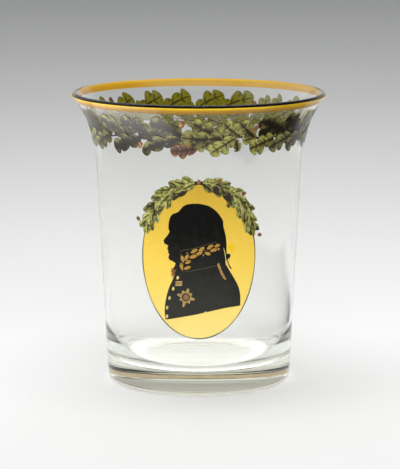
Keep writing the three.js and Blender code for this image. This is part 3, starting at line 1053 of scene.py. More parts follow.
@dataclass(frozen=True)
class Leaf:
    """A leaf's outline about its midrib, in millimetres. Without lobes it is a plain laurel leaf."""

    length: float
    width: float
    lobes: int = 0
    waist: float = 0.42
    sweep: float = 0.0
    stagger: float = 0.0
    bend: float = 0.0
    columns: int = 14
    rows: int = 6

    def half(self, along: float) -> float:
        """The outline, without its ripple.

        Args:
            along: The share, from the stalk.

        Returns:
            Half the width there.
        """
        if not self.lobes:
            return self.width / 2 * max(0.0, math.sin(math.pi * along**1.1)) ** 0.65
        swell = max(0.0, math.sin(math.pi * along**1.15)) ** 0.3
        lobe = abs(math.sin(math.pi * self.lobes * along)) ** 0.5
        return self.width / 2 * swell * lerp(self.waist, 1.0, lobe)

    def flat(self, at: Point, angle: float, tone: float, low: float, film: float) -> Flat:
        """The leaf as a thin plate in the flat.

        Args:
            at: Where its stalk is.
            angle: Which way its tip points.
            tone: Its own shade.
            low: How far its back stands out from the glass.
            film: Its thickness.

        Returns:
            The flat shape.
        """

        ripple = 0.14 if self.lobes else 0.06

        def to_point(along: float, across: float) -> Point:
            """Where a point of the leaf lies.

            Args:
                along: Its share of the length, from the stalk.
                across: Its share of the half-width, from -1 to 1.

            Returns:
                The flat point.
            """
            wander = math.sin(9 * along + 40 * tone + math.copysign(1.4, across))
            half = self.half(along) * (1 + ripple * wander)
            lean = self.sweep * across * across + self.stagger * across
            forward = lean * self.length * math.sin(math.pi * along)
            aside = self.bend * self.length * math.sin(math.pi * along)
            return turned((self.length * along + forward, half * across + aside), angle, at)

        upper_side = 1 if math.cos(angle) >= 0 else -1
        return Flat().grid(self.columns, self.rows, to_point, tone, upper_side).thickened(low, low + film)


def stroke(line: Sequence[Point], width: Callable[[float], float]) -> Callable[[float, float], Point]:
    """A rule that bends a grid along a line.

    Args:
        line: Points the stroke runs through.
        width: Its width at a share of its length.

    Returns:
        The rule, from shares along and across to a flat point.
    """

    def to_point(along: float, across: float) -> Point:
        """Where a point of the stroke lies.

        Args:
            along: Its share of the length.
            across: Its share of the half-width, from -1 to 1.

        Returns:
            The flat point.
        """
        place = along * (len(line) - 1)
        i = min(int(place), len(line) - 2)
        (x0, y0), (x1, y1) = line[i], line[i + 1]
        share = place - i
        before, after = line[max(i - 1, 0)], line[min(i + 2, len(line) - 1)]
        rightwards = lerp(x1 - before[0], after[0] - x0, share)
        upwards = lerp(y1 - before[1], after[1] - y0, share)
        tangent = Vector((rightwards, upwards)).normalized()
        half = width(along) / 2 * across
        return lerp(x0, x1, share) - tangent.y * half, lerp(y0, y1, share) + tangent.x * half

    return to_point


@dataclass(frozen=True)
class LeafPlace:
    """Where an oak leaf runs in its spray, from its stalk to its tip, and how wide and light it is.

    Places are in hundredths of the pitch to the left of the spray's start and in hundredths of the
    garland's height over its middle. The width is in hundredths of that height.
    """

    start: Point
    end: Point
    width: float
    tone: float


@dataclass(frozen=True)
class SprayKind:
    """What one kind of spray carries. Later leaves lie over earlier ones, and all over the under ones."""

    leaves: tuple[LeafPlace, ...]
    under: tuple[LeafPlace, ...]
    withered: LeafPlace | None = None
    acorn: Point | None = None


SPRAY_KINDS = (
    SprayKind(
        leaves=(
            LeafPlace((57, -4), (96, 16), 34, 0.24),
            LeafPlace((82, 0), (135, 35), 50, 0.2),
            LeafPlace((27, -1), (79, 33), 47, 0.23),
            LeafPlace((32, -6), (103, -42), 38, 0.2),
        ),
        under=(LeafPlace((20, -2), (48, -14), 30, 0.25), LeafPlace((62, -3), (92, -10), 30, 0.3)),
        withered=LeafPlace((1, -29), (50, -37), 37, 0.5),
        acorn=(27, 30),
    ),
    SprayKind(
        leaves=(
            LeafPlace((94, 0), (144, 36), 46, 0.2),
            LeafPlace((34, -3), (86, 33), 47, 0.24),
            LeafPlace((71, -9), (126, -39), 44, 0.28),
            LeafPlace((2, -9), (68, -36), 44, 0.2),
        ),
        under=(LeafPlace((16, -3), (48, 8), 32, 0.25), LeafPlace((66, -4), (92, 10), 30, 0.2)),
        acorn=(7, -27),
    ),
    SprayKind(
        leaves=(
            LeafPlace((34, 0), (100, 33), 47, 0.15),
            LeafPlace((16, -11), (69, -36), 44, 0.5),
            LeafPlace((61, -11), (110, -34), 48, 0.7),
        ),
        under=(LeafPlace((60, -4), (96, 8), 36, 0.1), LeafPlace((12, -2), (40, 10), 32, 0.2)),
    ),
    SprayKind(
        leaves=(
            LeafPlace((3, -6), (34, 34), 40, 0.58),
            LeafPlace((55, -4), (111, 35), 49, 0.5),
            LeafPlace((30, -1), (61, 35), 46, 0.55),
            LeafPlace((38, -8), (31, -39), 23, 0.5),
            LeafPlace((60, -6), (130, -3), 46, 0.56),
            LeafPlace((38, -6), (81, -43), 44, 0.8),
        ),
        under=(
            LeafPlace((-2, -3), (24, -15), 30, 0.6),
            LeafPlace((38, -2), (62, 16), 32, 0.2),
            LeafPlace((68, -12), (103, -31), 30, 0.65),
        ),
        acorn=(4, 14),
    ),
)


@dataclass
class OakGarland:
    """Twelve sprays of oak leaves all round, with withered leaves and acorns."""

    form: GlassForm
    band_foot: float
    gap: float = 0.9
    height: float = 14.0
    sprays: int = 12
    stem_width: float = 1.3
    stem_drop: float = 1.0
    stem_wave: float = 0.5
    stem_start: float = 0.02
    stem_steps: int = 12
    acorn_length: float = 2.6
    acorn_width: float = 1.9
    acorn_turn: float = 65.0
    nut_height: float = 0.34
    cup_height: float = 0.38
    lift: float = CLEARANCE
    film: float = 0.03
    layer: float = 0.045

    @property
    def middle(self) -> float:
        """Half-way up the garland."""
        return self.band_foot - self.gap - self.height / 2

    @property
    def foot(self) -> float:
        """The garland's lower edge."""
        return self.middle - self.height / 2

    @property
    def radius(self) -> float:
        """The wall's radius half-way up the garland."""
        return self.form.radius(self.middle)

    @property
    def pitch(self) -> float:
        """From one spray to the next, round the wall."""
        return 2 * math.pi * self.radius / self.sprays

    @staticmethod
    def number(spray: int) -> str:
        """A spray's number, as its pieces' names give it."""
        return f"{spray + 1:02d}"

    def wrap(self, spray: int) -> Wrap:
        """Where a spray goes on the wall."""
        return Wrap(self.form, self.radius, -spray * 2 * math.pi / self.sprays)

    def level(self, spray: int, order: int) -> float:
        """How far out the back of a spray's leaf of that order lies, clear of those it crosses."""
        return self.lift + self.layer * (order + 0.5 * (spray % 2))

    def place(self, point: Point) -> Point:
        """A place in a spray's own measure, in the flat."""
        return -point[0] / 100 * self.pitch, self.middle + point[1] / 100 * self.height

    def leaf(self, place: LeafPlace, spray: int, order: int) -> Flat:
        """An oak leaf in the flat.

        Args:
            place: Where it runs.
            spray: Its spray's number, from 0.
            order: How many leaves of its spray lie under it.

        Returns:
            The flat shape.
        """
        stalk, tip = self.place(place.start), self.place(place.end)
        width = place.width / 100 * self.height
        bend = 0.05 * uneven(2 * spray, 3 * order)
        stagger = 0.06 * uneven(3 * spray, 5 * order)
        length = math.dist(stalk, tip)
        leaf = Leaf(length, width, lobes=3, sweep=0.05, stagger=stagger, bend=bend, columns=60, rows=10)
        tone = place.tone + 0.06 * uneven(spray, order)
        return leaf.flat(stalk, heading(stalk, tip), tone, self.level(spray, order), self.film)

    def build_leaves(self, spray: int, kind: SprayKind) -> None:
        """A spray's green leaves.

        Args:
            spray: Its number, from 0.
            kind: What it carries.
        """
        name = self.number(spray)
        piece = Piece(f"oak_leaves_{name}", OAK, Slot.OAK, (f"oak_spray_{name}",))
        for place in kind.under:
            self.wrap(spray).lay(self.leaf(place, spray, 0), piece)
        for order, place in enumerate(kind.leaves, 1):
            self.wrap(spray).lay(self.leaf(place, spray, order), piece)
        piece.finished()

    def build_stem(self, spray: int) -> None:
        """A spray's stem, which reaches as far as the next spray.

        Args:
            spray: The spray's number, from 0.
        """
        piece = Piece(f"oak_stem_{self.number(spray)}", OAK, Slot.OAK)
        level_line = self.middle - self.stem_drop
        line = [
            (-(self.stem_start + t) * self.pitch, level_line + self.stem_wave * math.sin(2 * math.pi * t))
            for t in between(0, 1, self.stem_steps)
        ]

        def width(along: float) -> float:
            """The stem's width at a share of its length."""
            return self.stem_width * (0.75 - 0.4 * math.sin(math.pi * along))

        flat = Flat().grid(2 * self.stem_steps, 2, stroke(line, width), tone=-0.3)
        low = self.level(spray, 0)
        self.wrap(spray).lay(flat.thickened(low, low + self.film), piece)
        piece.finished()

    def build_withered(self, spray: int, place: LeafPlace) -> None:
        """A withered leaf that hangs from a spray.

        Args:
            spray: The spray's number, from 0.
            place: Where it runs.
        """
        name = self.number(spray)
        piece = Piece(f"withered_leaf_{name}", BROWN, Slot.BROWN, (f"brown_leaf_{name}",))
        self.wrap(spray).lay(self.leaf(place, spray, 0), piece)
        piece.finished()

    def build_acorn(self, spray: int, place: Point) -> None:
        """An acorn: its nut and, over the stalk's end of it, its cup.

        Args:
            spray: The spray's number, from 0.
            place: Its middle.
        """
        name = self.number(spray)
        piece = Piece(f"painted_acorn_{name}", ACORN, Slot.ACORN, (f"acorn_{name}",))
        centre, turn = self.place(place), math.radians(self.acorn_turn)
        nut = (self.acorn_length / 2, self.acorn_width / 2, self.nut_height)
        self.wrap(spray).lay(Flat().dome(centre, nut, turn), piece)
        cup_centre = turned((0.3 * self.acorn_length, 0.0), turn, centre)
        cup = (0.26 * self.acorn_length, 0.56 * self.acorn_width, self.cup_height)
        self.wrap(spray).lay(Flat().dome(cup_centre, cup, turn), piece)
        piece.finished()

    def build(self) -> None:
        """The whole garland."""
        for spray in range(self.sprays):
            kind = SPRAY_KINDS[spray % len(SPRAY_KINDS)]
            self.build_leaves(spray, kind)
            self.build_stem(spray)
            if kind.withered:
                self.build_withered(spray, kind.withered)
            if kind.acorn:
                self.build_acorn(spray, kind.acorn)


# The collar's embroidered leaves, each from its stalk to its tip, in hundredths of the oval's
# half-width and half-height.
SPRIG_LEAVES = (
    ((-28, -11.5), (-29.7, -2.5)),
    ((-25.5, -10), (-14.5, -7)),
    ((-23, -2.6), (-13.8, 0.8)),
    ((-26, -1.2), (-28.3, 6.8)),
    ((-23.6, 1.1), (-18, 8.2)),
    ((-16, 4.7), (-4, 7.5)),
    ((-13.8, 11), (-3, 15.5)),
    ((-4.5, 8.5), (5.3, 11.9)),
    ((-0.3, 13.2), (8.6, 18)),
    ((9.5, 11.6), (18.9, 9)),
    ((13.3, 16.2), (23, 20.6)),
    ((18.4, 13), (29.6, 15.5)),
    ((25.4, 18.7), (34.5, 21)),
)


@dataclass
class Medallion:
    """The stained oval with its line, wreath, black bust and gilding."""

    form: GlassForm
    garland_foot: float
    half_width: float = 20.2
    half_height: float = 27.0
    room_over_wreath: float = 0.233
    line_width: float = 0.4
    laurel_length: float = 4.6
    laurel_width: float = 2.3
    laurel_step: float = 2.4
    left_stations: int = 10
    right_stations: int = 11
    laurel_spread: float = 32.0
    laurel_layer: float = 0.006
    core_width: float = 3.3
    berry_radius: float = 0.6
    sprig_leaf_width: float = 1.24
    star_radius: float = 3.2
    star_turn: float = -16.0
    star_rays: tuple[float, ...] = (1.0, 0.8, 1.0, 0.8, 1.0, 0.8, 1.15, 0.8)
    lift: float = CLEARANCE
    film: float = 0.04
    film_gap: float = 0.02

    @property
    def wreath_reach(self) -> float:
        """How far the wreath stands outside the oval."""
        return self.laurel_length * math.sin(math.radians(self.laurel_spread)) + self.laurel_width / 2

    @property
    def centre(self) -> float:
        """The height of the oval's middle."""
        spare = self.garland_foot - self.form.heel_radius - 2 * self.half_height - self.wreath_reach
        return self.garland_foot - self.room_over_wreath * spare - self.wreath_reach - self.half_height

    @property
    def wrap(self) -> Wrap:
        """Where the medallion goes on the wall."""
        return Wrap(self.form, self.form.radius(self.centre))

    def level(self, films: int) -> float:
        """How far out the back of a shape lies that has so many films under it."""
        return self.lift + films * (self.film + self.film_gap)

    def on_oval(self, turn: float, out: float = 0.0) -> Point:
        """A point on the oval's edge.

        Args:
            turn: Its angle, 0 at the top and growing to the right.
            out: How far outside the edge it lies.

        Returns:
            The flat point.
        """
        return (
            (self.half_width + out) * math.sin(turn),
            self.centre + (self.half_height + out) * math.cos(turn),
        )

    def inside(self, place: Point) -> Point:
        """A point given in hundredths of the oval's half-width and half-height."""
        return place[0] / 100 * self.half_width, self.centre + place[1] / 100 * self.half_height

    def along_oval(self, side: Side, spacing: float, count: int) -> list[Point]:
        """Points along the oval's edge, evenly spaced, from the top.

        Args:
            side: Which way to go.
            spacing: From one to the next.
            count: How many.

        Returns:
            The points.
        """
        fine = 600
        found = [self.on_oval(0.0)]
        last, travelled = found[0], 0.0
        for i in range(1, fine):
            if len(found) == count:
                break
            point = self.on_oval(side.value * i * math.pi / fine)
            travelled += math.dist(point, last)
            last = point
            if travelled >= spacing * len(found):
                found.append(point)
        return found

    def plate(
        self, name: str, flat: Flat, finish: Finish, slot: Slot, level: int, nodes: tuple[str, ...] = ()
    ) -> None:
        """Makes a piece of one flat shape.

        Args:
            name: The piece's name.
            flat: Its shape.
            finish: Its finish.
            slot: Its material slot, which the piece keeps but nothing uses.
            level: How many films lie under it.
            nodes: The frame's nodes that it stands for.
        """
        piece = Piece(name, finish, slot, nodes)
        low = self.level(level)
        self.wrap.lay(flat.thickened(low, low + self.film), piece)
        piece.finished()

    def boss(
        self,
        name: str,
        centre: Point,
        half: tuple[float, float, float],
        degrees: float,
        finish: Finish,
        slot: Slot,
        nodes: tuple[str, ...] = (),
    ) -> None:
        """Makes a piece of one low round boss.

        Args:
            name: The piece's name.
            centre: Its middle.
            half: Its half-width, half-length and height.
            degrees: How far it is turned.
            finish: Its finish.
            slot: Its material slot, which the piece keeps but nothing uses.
            nodes: The frame's nodes that it stands for.
        """
        piece = Piece(name, finish, slot, nodes)
        self.wrap.lay(Flat().dome(centre, half, math.radians(degrees)), piece)
        piece.finished()

    def build_ground(self) -> None:
        """The stained oval and the fine dark line round it."""
        oval = Flat().oval((0.0, self.centre), (self.half_width, self.half_height)).sliced(1.4)
        self.plate("stained_oval", oval, OVAL_STAIN, Slot.OVAL, 0, ("medallion_ground",))

        def ring(along: float, across: float) -> Point:
            """Where a point of the line lies, for its shares along and across."""
            width = self.line_width / 2 * (0.8 + 0.2 * math.sin(31 * along))
            return self.on_oval(lerp(1.0, 2 * math.pi - 1.0, along), width * across)

        line = Flat().grid(160, 2, ring)
        self.plate("oval_line", line, LINE, Slot.BLACK, 1, ("medallion_line",))

    def build_wreath(self, side: Side) -> None:
        """One half of the laurel wreath: a dark core, leaves in fours along it, and one at its tip.

        Args:
            side: Which half.
        """
        name = side.name.lower()
        piece = Piece(f"laurel_{name}", LAUREL, Slot.LAUREL, (f"wreath_{name}",))
        stations = self.left_stations if side is Side.LEFT else self.right_stations
        step = self.laurel_step * (0.98 - 0.02 * side.value)
        line = self.along_oval(side, step / 2, 2 * stations + 3)
        fan = math.radians(self.laurel_spread)
        low = self.level(1)

        def core_width(along: float) -> float:
            """The core's width at a share of its length."""
            return self.core_width * math.sin(math.pi * lerp(0.1, 0.94, along))

        core = Flat().grid(40, 2, stroke(line, core_width), tone=-0.5)
        self.wrap.lay(core.thickened(low - 0.015, low + 0.01), piece)
        ways = (-1, -0.5 * side.value, 0, 1)
        order = len(ways) * stations
        for station in range(stations):
            at = line[2 * station + 1]
            ahead = heading(at, line[2 * station + 3])
            full = math.sin(math.pi * lerp(0.2, 0.82, station / (stations - 1)))
            for way in ways:
                inner = way * side.value < 0
                length = self.laurel_length * (0.76 + 0.32 * full)
                length *= 1 + 0.12 * uneven(1.7 * station, 2.3 * way)
                if inner:
                    length *= 1.03 - 0.06 * side.value
                leaf = Leaf(length, self.laurel_width * (0.9 + 0.24 * full), sweep=-0.06 * way)
                angle = ahead + way * fan * (1.08 + 0.3 * uneven(station, 2 * way)) + (0 if way else 0.2)
                shaded = inner and abs(way) == 1 and station in (1, 2, 3)
                tone = -0.05 if shaded else 0.56
                tone += 0.3 * uneven(3.3 * station, 2.1 * way + side.value)
                order -= 1
                flat = leaf.flat(at, angle, tone, low + order * self.laurel_layer, self.film)
                self.wrap.lay(flat, piece)
        tip = line[2 * stations]
        last = heading(tip, line[2 * stations + 2])
        end = Leaf(self.laurel_length * 0.9, self.laurel_width * 0.9)
        self.wrap.lay(end.flat(tip, last, 0.6, low, self.film), piece)
        piece.finished()

    def build_berries(self) -> None:
        """The berries along the wreath's outer edge, and a bud on each inner edge."""
        radius = self.berry_radius
        upright, slanted = (radius, 1.4 * radius, 0.34), (1.5 * radius, 1.15 * radius, 0.48)
        places = ((0.0, 0.4), (18.0, 1.9), (40.5, 3.2), (74.0, 2.5), (-63.5, 3.8))
        for number, (turn, out) in enumerate(places, 1):
            centre = self.on_oval(math.radians(turn), out)
            half, degrees = (slanted, 60 - turn) if turn else (upright, 0.0)
            nodes = (f"wreath_berry_{number}",)
            self.boss(f"painted_berry_{number}", centre, half, degrees, BERRY, Slot.ACORN, nodes)
        for side in Side:
            name = f"laurel_bud_{side.name.lower()}"
            centre = self.on_oval(side.value * math.radians(36), -self.wreath_reach)
            self.boss(name, centre, (0.8, 0.5, 0.3), -50 * side.value, BUD, Slot.LAUREL)

    def bust_outline(self) -> list[Point]:
        """The bust, facing left: coat, cravat, a plain profile by thirds, dressed hair and its ribbon.

        Returns:
            The outline in the flat.
        """
        coat_front = [(-59, -76.5), (-60, -65), (-58, -52), (-52, -36), (-44, -23), (-43, -18), (-47, -14)]
        cravat = [(-42, -8), (-39, -3)]
        chin, third, face = -0.5, 21.0, -50.0
        nose, brow = chin + third, chin + 2 * third
        profile = [
            (face + 6, chin),
            (face, chin + 0.1 * third),
            (face - 1.5, chin + 0.26 * third),
            (face + 0.5, chin + 0.42 * third),
            (face - 2.5, chin + 0.54 * third),
            (face - 1.2, chin + 0.64 * third),
            (face - 3.5, chin + 0.74 * third),
            (face - 1.5, nose - 0.04 * third),
            (face - 8, nose + 0.06 * third),
            (face - 9.5, nose + 0.26 * third),
            (face + 1, brow - 0.22 * third),
            (face - 0.5, brow),
            (face + 1, brow + 0.5 * third),
            (face + 6, brow + 0.85 * third),
        ]
        hair = [(-34, 63), (-23, 71.5), (-7, 74), (12, 72), (25, 66.5), (35, 58), (40, 51), (40.5, 45)]
        queue = [(43.3, 37), (46, 26), (46.6, 12)]
        bow = [(47, 8.8), (49.2, 9.2), (52.6, 8.3), (54.2, 6), (52.4, 4.2), (52, 1.6), (50, 3), (47.8, 2.6)]
        back = [(46.6, -1), (46.8, -5), (51, -11), (61, -23), (69, -34), (73, -45), (73.5, -59)]
        hem = [(45, -61), (13, -65.5), (11.5, -63.8), (9.5, -66), (-25, -71.5)]
        corners = [*coat_front, *cravat, *profile, *hair, *queue, *bow, *back, *hem]
        return rounded([self.inside(corner) for corner in corners], 4, keep=50.0)

    def build_bust(self) -> None:
        """The black silhouette, and the loose end of its hair ribbon."""
        bust = Flat().outline(self.bust_outline()).sliced(1.4)
        self.plate("black_bust", bust, BLACK, Slot.BLACK, 2, ("bust",))
        places = ((48.4, 3), (48.8, 0), (50, -3.4), (52.4, -7), (55.4, -10.6))
        loose_end = [self.inside(place) for place in places]
        ribbon = Flat().grid(40, 2, stroke(loose_end, lambda along: 0.26 + 0.18 * along))
        self.plate("hair_ribbon", ribbon, BLACK, Slot.BLACK, 3)

    def strip(
        self,
        name: str,
        places: Sequence[Point],
        width: float,
        finish: Finish,
        nodes: tuple[str, ...] = (),
        level: int = 3,
    ) -> None:
        """A gilded strip with rounded ends.

        Args:
            name: The piece's name.
            places: What it runs through, in the oval's own measure.
            width: Its width.
            finish: Its finish.
            nodes: The frame's nodes that it stands for.
            level: How many films lie under it.
        """

        def rule(along: float) -> float:
            """The strip's width at a share of its length."""
            return width * (1 - abs(2 * along - 1) ** 12) ** 0.5

        line = [self.inside(place) for place in places]
        flat = Flat().grid(16 * (len(line) - 1), 2, stroke(line, rule))
        self.plate(name, flat, finish, Slot.GILDING, level, nodes)

    def build_collar(self) -> None:
        """The leaf embroidery on the collar, its edges, and the strap on the shoulder."""
        piece = Piece("gold_sprig", LEAF_GOLD, Slot.GILDING, ("collar_sprig",))
        low = self.level(3)
        for order, places in enumerate(SPRIG_LEAVES):
            root, tip = (self.inside(place) for place in places)
            leaf = Leaf(1.1 * math.dist(root, tip), self.sprig_leaf_width)
            flat = leaf.flat(root, heading(root, tip), 0.5, low + 0.003 * order, self.film)
            self.wrap.lay(flat, piece)
        piece.finished()
        stem = ((-27, -13), (-26, -1), (-21, 4), (-8, 9.5), (8, 13.5), (25, 16.5))
        line = Flat().grid(60, 2, stroke([self.inside(place) for place in stem], lambda along: 0.22))
        self.plate("gold_sprig_stem", line, BROWN_GOLD, Slot.GILDING, 3)
        buds = (
            ("tip", (33, 15.7), (0.55, 0.42, 0.3)),
            ("low", (7.7, 8.2), (0.25, 0.5, 0.3)),
            ("top", (-19.2, 10.6), (0.45, 0.24, 0.3)),
        )
        for name, place, half in buds:
            self.boss(f"sprig_bud_{name}", self.inside(place), half, -20, RUBBED_GOLD, Slot.GILDING)
        piping = ((-26, -14), (-2, -10.5), (13, -8.4), (31, -5.4))
        self.strip("gold_piping", piping, 0.18, FAINT_GOLD, ("collar_piping",))
        back_edge = ((41.4, 16.8), (43.6, 11.3), (45, 4), (45.8, -2.5), (46.4, -6))
        self.strip("collar_back_edge", back_edge, 0.26, PALE_GOLD)
        top_edge = ((-30, 1), (-30, 13.5), (-3, 17.7), (13, 21.7), (30, 24.3))
        self.strip("collar_top_edge", top_edge, 0.16, FAINT_GOLD)
        cord = ((32.6, -3.1), (35.7, -10.5), (40.3, -17.8), (46, -24))
        self.strip("shoulder_cord", cord, 0.8, RUBBED_GOLD, ("shoulder_braid",))
        self.boss("shoulder_knob", self.inside((33.4, -4.2)), (0.52, 0.56, 0.34), 0, GOLD, Slot.GILDING)

    def build_star(self) -> None:
        """The eight-pointed breast star, with a dark ring and a plain boss."""
        piece = Piece("gold_star", STAR_GOLD, Slot.GILDING, ("breast_star",))
        centre, radius = self.inside((-22, -46)), self.star_radius

        def ray_width(along: float) -> float:
            """A ray's width at a share of its length. Its outer end is round."""
            return radius * lerp(0.5, 0.2, along) * (1 - max(0.0, 2 * along - 1) ** 5) ** 0.5

        for i, reach in enumerate(self.star_rays):
            angle = 2 * math.pi * i / len(self.star_rays) + math.radians(self.star_turn)
            ends = [turned((share * radius, 0.0), angle, centre) for share in (0.3, reach)]
            low = self.level(3) + 0.004 * i
            ray = Flat().grid(12, 4, stroke(ends, ray_width))
            self.wrap.lay(ray.thickened(low, low + self.film), piece)
        piece.finished()
        discs = (
            ("star_disc", 0.57, STAR_GOLD),
            ("star_ring", 0.46, DARK_GOLD),
            ("star_middle", 0.3, MIDDLE_GOLD),
        )
        for level, (name, share, finish) in enumerate(discs, 4):
            disc = Flat().oval(centre, (share * radius, share * radius), 32)
            self.plate(name, disc, finish, Slot.GILDING, level)
        self.boss("star_boss", centre, (0.1 * radius, 0.14 * radius, 0.4), 0, STAR_GOLD, Slot.GILDING)

    def build_buttons(self) -> None:
        """Five buttons down the front, two clasps and the cravat's bow."""
        places = ((-35.8, -21.3), (-44, -35.8), (-50.8, -48), (-55.6, -60.8), (-56, -72))
        for number, place in enumerate(places, 1):
            name, centre, half = f"gold_button_{number}", self.inside(place), (0.52, 0.78, 0.3)
            self.boss(name, centre, half, -12, PALE_GOLD, Slot.GILDING, (f"button_{number}",))
        self.strip("clasp_plate", ((-40, -29), (-27.8, -28.3)), 1.5, OLIVE_GOLD)
        clasps = (((-40, -26.3), (-27.6, -26.2)), ((-41, -31.4), (-28, -30.8)))
        for number, clasp in enumerate(clasps, 1):
            self.strip(f"gold_clasp_{number}", clasp, 0.34, BAR_GOLD, (f"lapel_clasp_{number}",), level=4)
        bow = Piece("gold_bow", BROWN_GOLD, Slot.GILDING, ("cravat_bow",))
        knot = self.inside((-41, -14))
        loops = ((134, 1.7, 0.95), (60, 1.1, 0.4), (190, 0.9, 0.6))
        ends = ((222, 1.8, 0.5), (242, 2.1, 0.45), (264, 1.8, 0.42))
        for i, (degrees, length, width) in enumerate((*loops, *ends)):
            petal = Leaf(length, width, columns=8)
            low = self.level(3) + 0.01 * i
            self.wrap.lay(petal.flat(knot, math.radians(degrees), 0.5, low, self.film), bow)
        bow.finished()

    def build(self) -> None:
        """The whole medallion."""
        self.build_ground()
        for side in Side:
            self.build_wreath(side)
        self.build_berries()
        self.build_bust()
        self.build_collar()
        self.build_star()
        self.build_buttons()


def rounded(corners: Sequence[Point], steps: int, keep: float) -> list[Point]:
    """A closed outline with its corners rounded by a curve through them.

    Args:
        corners: The outline's points.
        steps: Stretches of curve from one point to the next.
        keep: An outline that turns more than this at a point, in degrees, keeps its corner there.

    Returns:
        The rounded outline.
    """
    count = len(corners)
    points = [Vector(corner) for corner in corners]

    def tangent(i: int, way: int) -> Vector:
        """Which way the curve runs at a point, and how fast.

        Args:
            i: The point.
            way: 1 where the curve leaves it, -1 where the curve reaches it.

        Returns:
            The tangent.
        """
        before, here, after = points[i - 1], points[i], points[(i + 1) % count]
        arriving, leaving = here - before, after - here
        if arriving.angle(leaving) > math.radians(keep):
            return leaving if way > 0 else arriving
        return (after - before).normalized() * (leaving if way > 0 else arriving).length

    found: list[Point] = []
    for i in range(count):
        start, end = points[i], points[(i + 1) % count]
        out, into = tangent(i, 1), tangent((i + 1) % count, -1)
        for k in range(steps):
            t = k / steps
            curve = (
                start * (2 * t**3 - 3 * t**2 + 1)
                + out * (t**3 - 2 * t**2 + t)
                + end * (3 * t**2 - 2 * t**3)
                + into * (t**3 - t**2)
            )
            found.append((curve.x, curve.y))
    return found


# Floor, light and camera


@dataclass(frozen=True)
class FloorPaint(Finish):
    """A matt white sheet, made greyer further off by painted shade, which is all that the camera sees of
    the floor.

    Only the glass shows the rest, and only where light passes its near wall or its foot alone: a
    painted reflection of brown wood in front, a dark patch of painted shade on the right and a painted
    contact shadow under the back of the foot. Each soft edge gives, in metres, where the thing ends and
    where it is full.
    """

    # Painted shade: the white sheet turns grey with distance from the beaker.
    painted_shade_greys: tuple[tuple[float, int], ...] = (
        (0.0, 248),
        (0.07, 248),
        (0.17, 241),
        (0.29, 231),
        (0.44, 217),
        (0.63, 201),
        (0.88, 182),
        (1.24, 162),
        (1.72, 143),
    )
    # Painted shade: a dark patch on the right that only the glass shows.
    painted_shade_card: Colour = srgb(60, 60, 60)
    shade_card_place: Point = (0.155, -0.03)
    shade_card_sides: Point = (0.08, 0.06)
    shade_card_ends: Point = (0.16, 0.11)
    # Painted reflection: brown wood in front that only the glass shows.
    painted_table_reflection: Colour = srgb(104, 82, 62)
    table_reflection_edge: Point = (-0.4, -0.5)
    # Painted contact shadow: a dimmer, browner patch under the back of the foot.
    painted_contact_shadow: Colour = srgb(212, 200, 178)
    contact_shadow_rim: Point = (0.031, 0.029)
    contact_shadow_front: Point = (0.014, 0.019)
    surfaces_passed: Point = (3.4, 2.6)

    def surface(self, book: NodeBook) -> bpy.types.NodeSocket:
        """Painted shade, grey that follows the distance from the beaker, and the painted shade, reflection
        and contact shadow that the glass alone shows.

        Args:
            book: The material's nodes.

        Returns:
            The shader's socket.
        """
        x, y, _ = book.place()
        distance = book.math("SQRT", x * x + y * y)
        # Painted shade: the floor turns grey with distance from the beaker.
        reach = self.painted_shade_greys[-1][0]
        stops = [(far / reach, srgb(g - 2, g, g)) for far, g in self.painted_shade_greys]
        white = book.ramp(distance * (1 / reach), stops)
        path = book.node("ShaderNodeLightPath").outputs
        direct = Value(book, path["Is Camera Ray"])
        near = Value(book, path["Transmission Depth"]).step(*self.surfaces_passed)
        aside, along = (abs(at - middle) for at, middle in zip((x, y), self.shade_card_place))
        # Painted shade on the right, seen only through the glass.
        painted_shade_card = aside.step(*self.shade_card_sides) * along.step(*self.shade_card_ends) * near
        # Painted reflection of brown wood in front, seen only through the glass.
        painted_table_reflection = y.step(*self.table_reflection_edge) * near
        # Painted contact shadow under the back of the foot, seen only through the glass, a little patchy.
        painted_contact_shadow = distance.step(*self.contact_shadow_rim) * y.step(*self.contact_shadow_front) * near
        painted_contact_shadow = painted_contact_shadow * (1 - book.noise(500.0).step(0.5, 0.7) * 0.4)
        colour = book.mix(painted_table_reflection, book.mix(painted_shade_card, white, self.painted_shade_card), self.painted_table_reflection)
        colour = book.mix(direct, book.mix(painted_contact_shadow, colour, self.painted_contact_shadow), white)
        inputs = {"Base Color": colour, "Roughness": 0.85, "Specular IOR Level": 0.1}
        return book.principled(inputs)


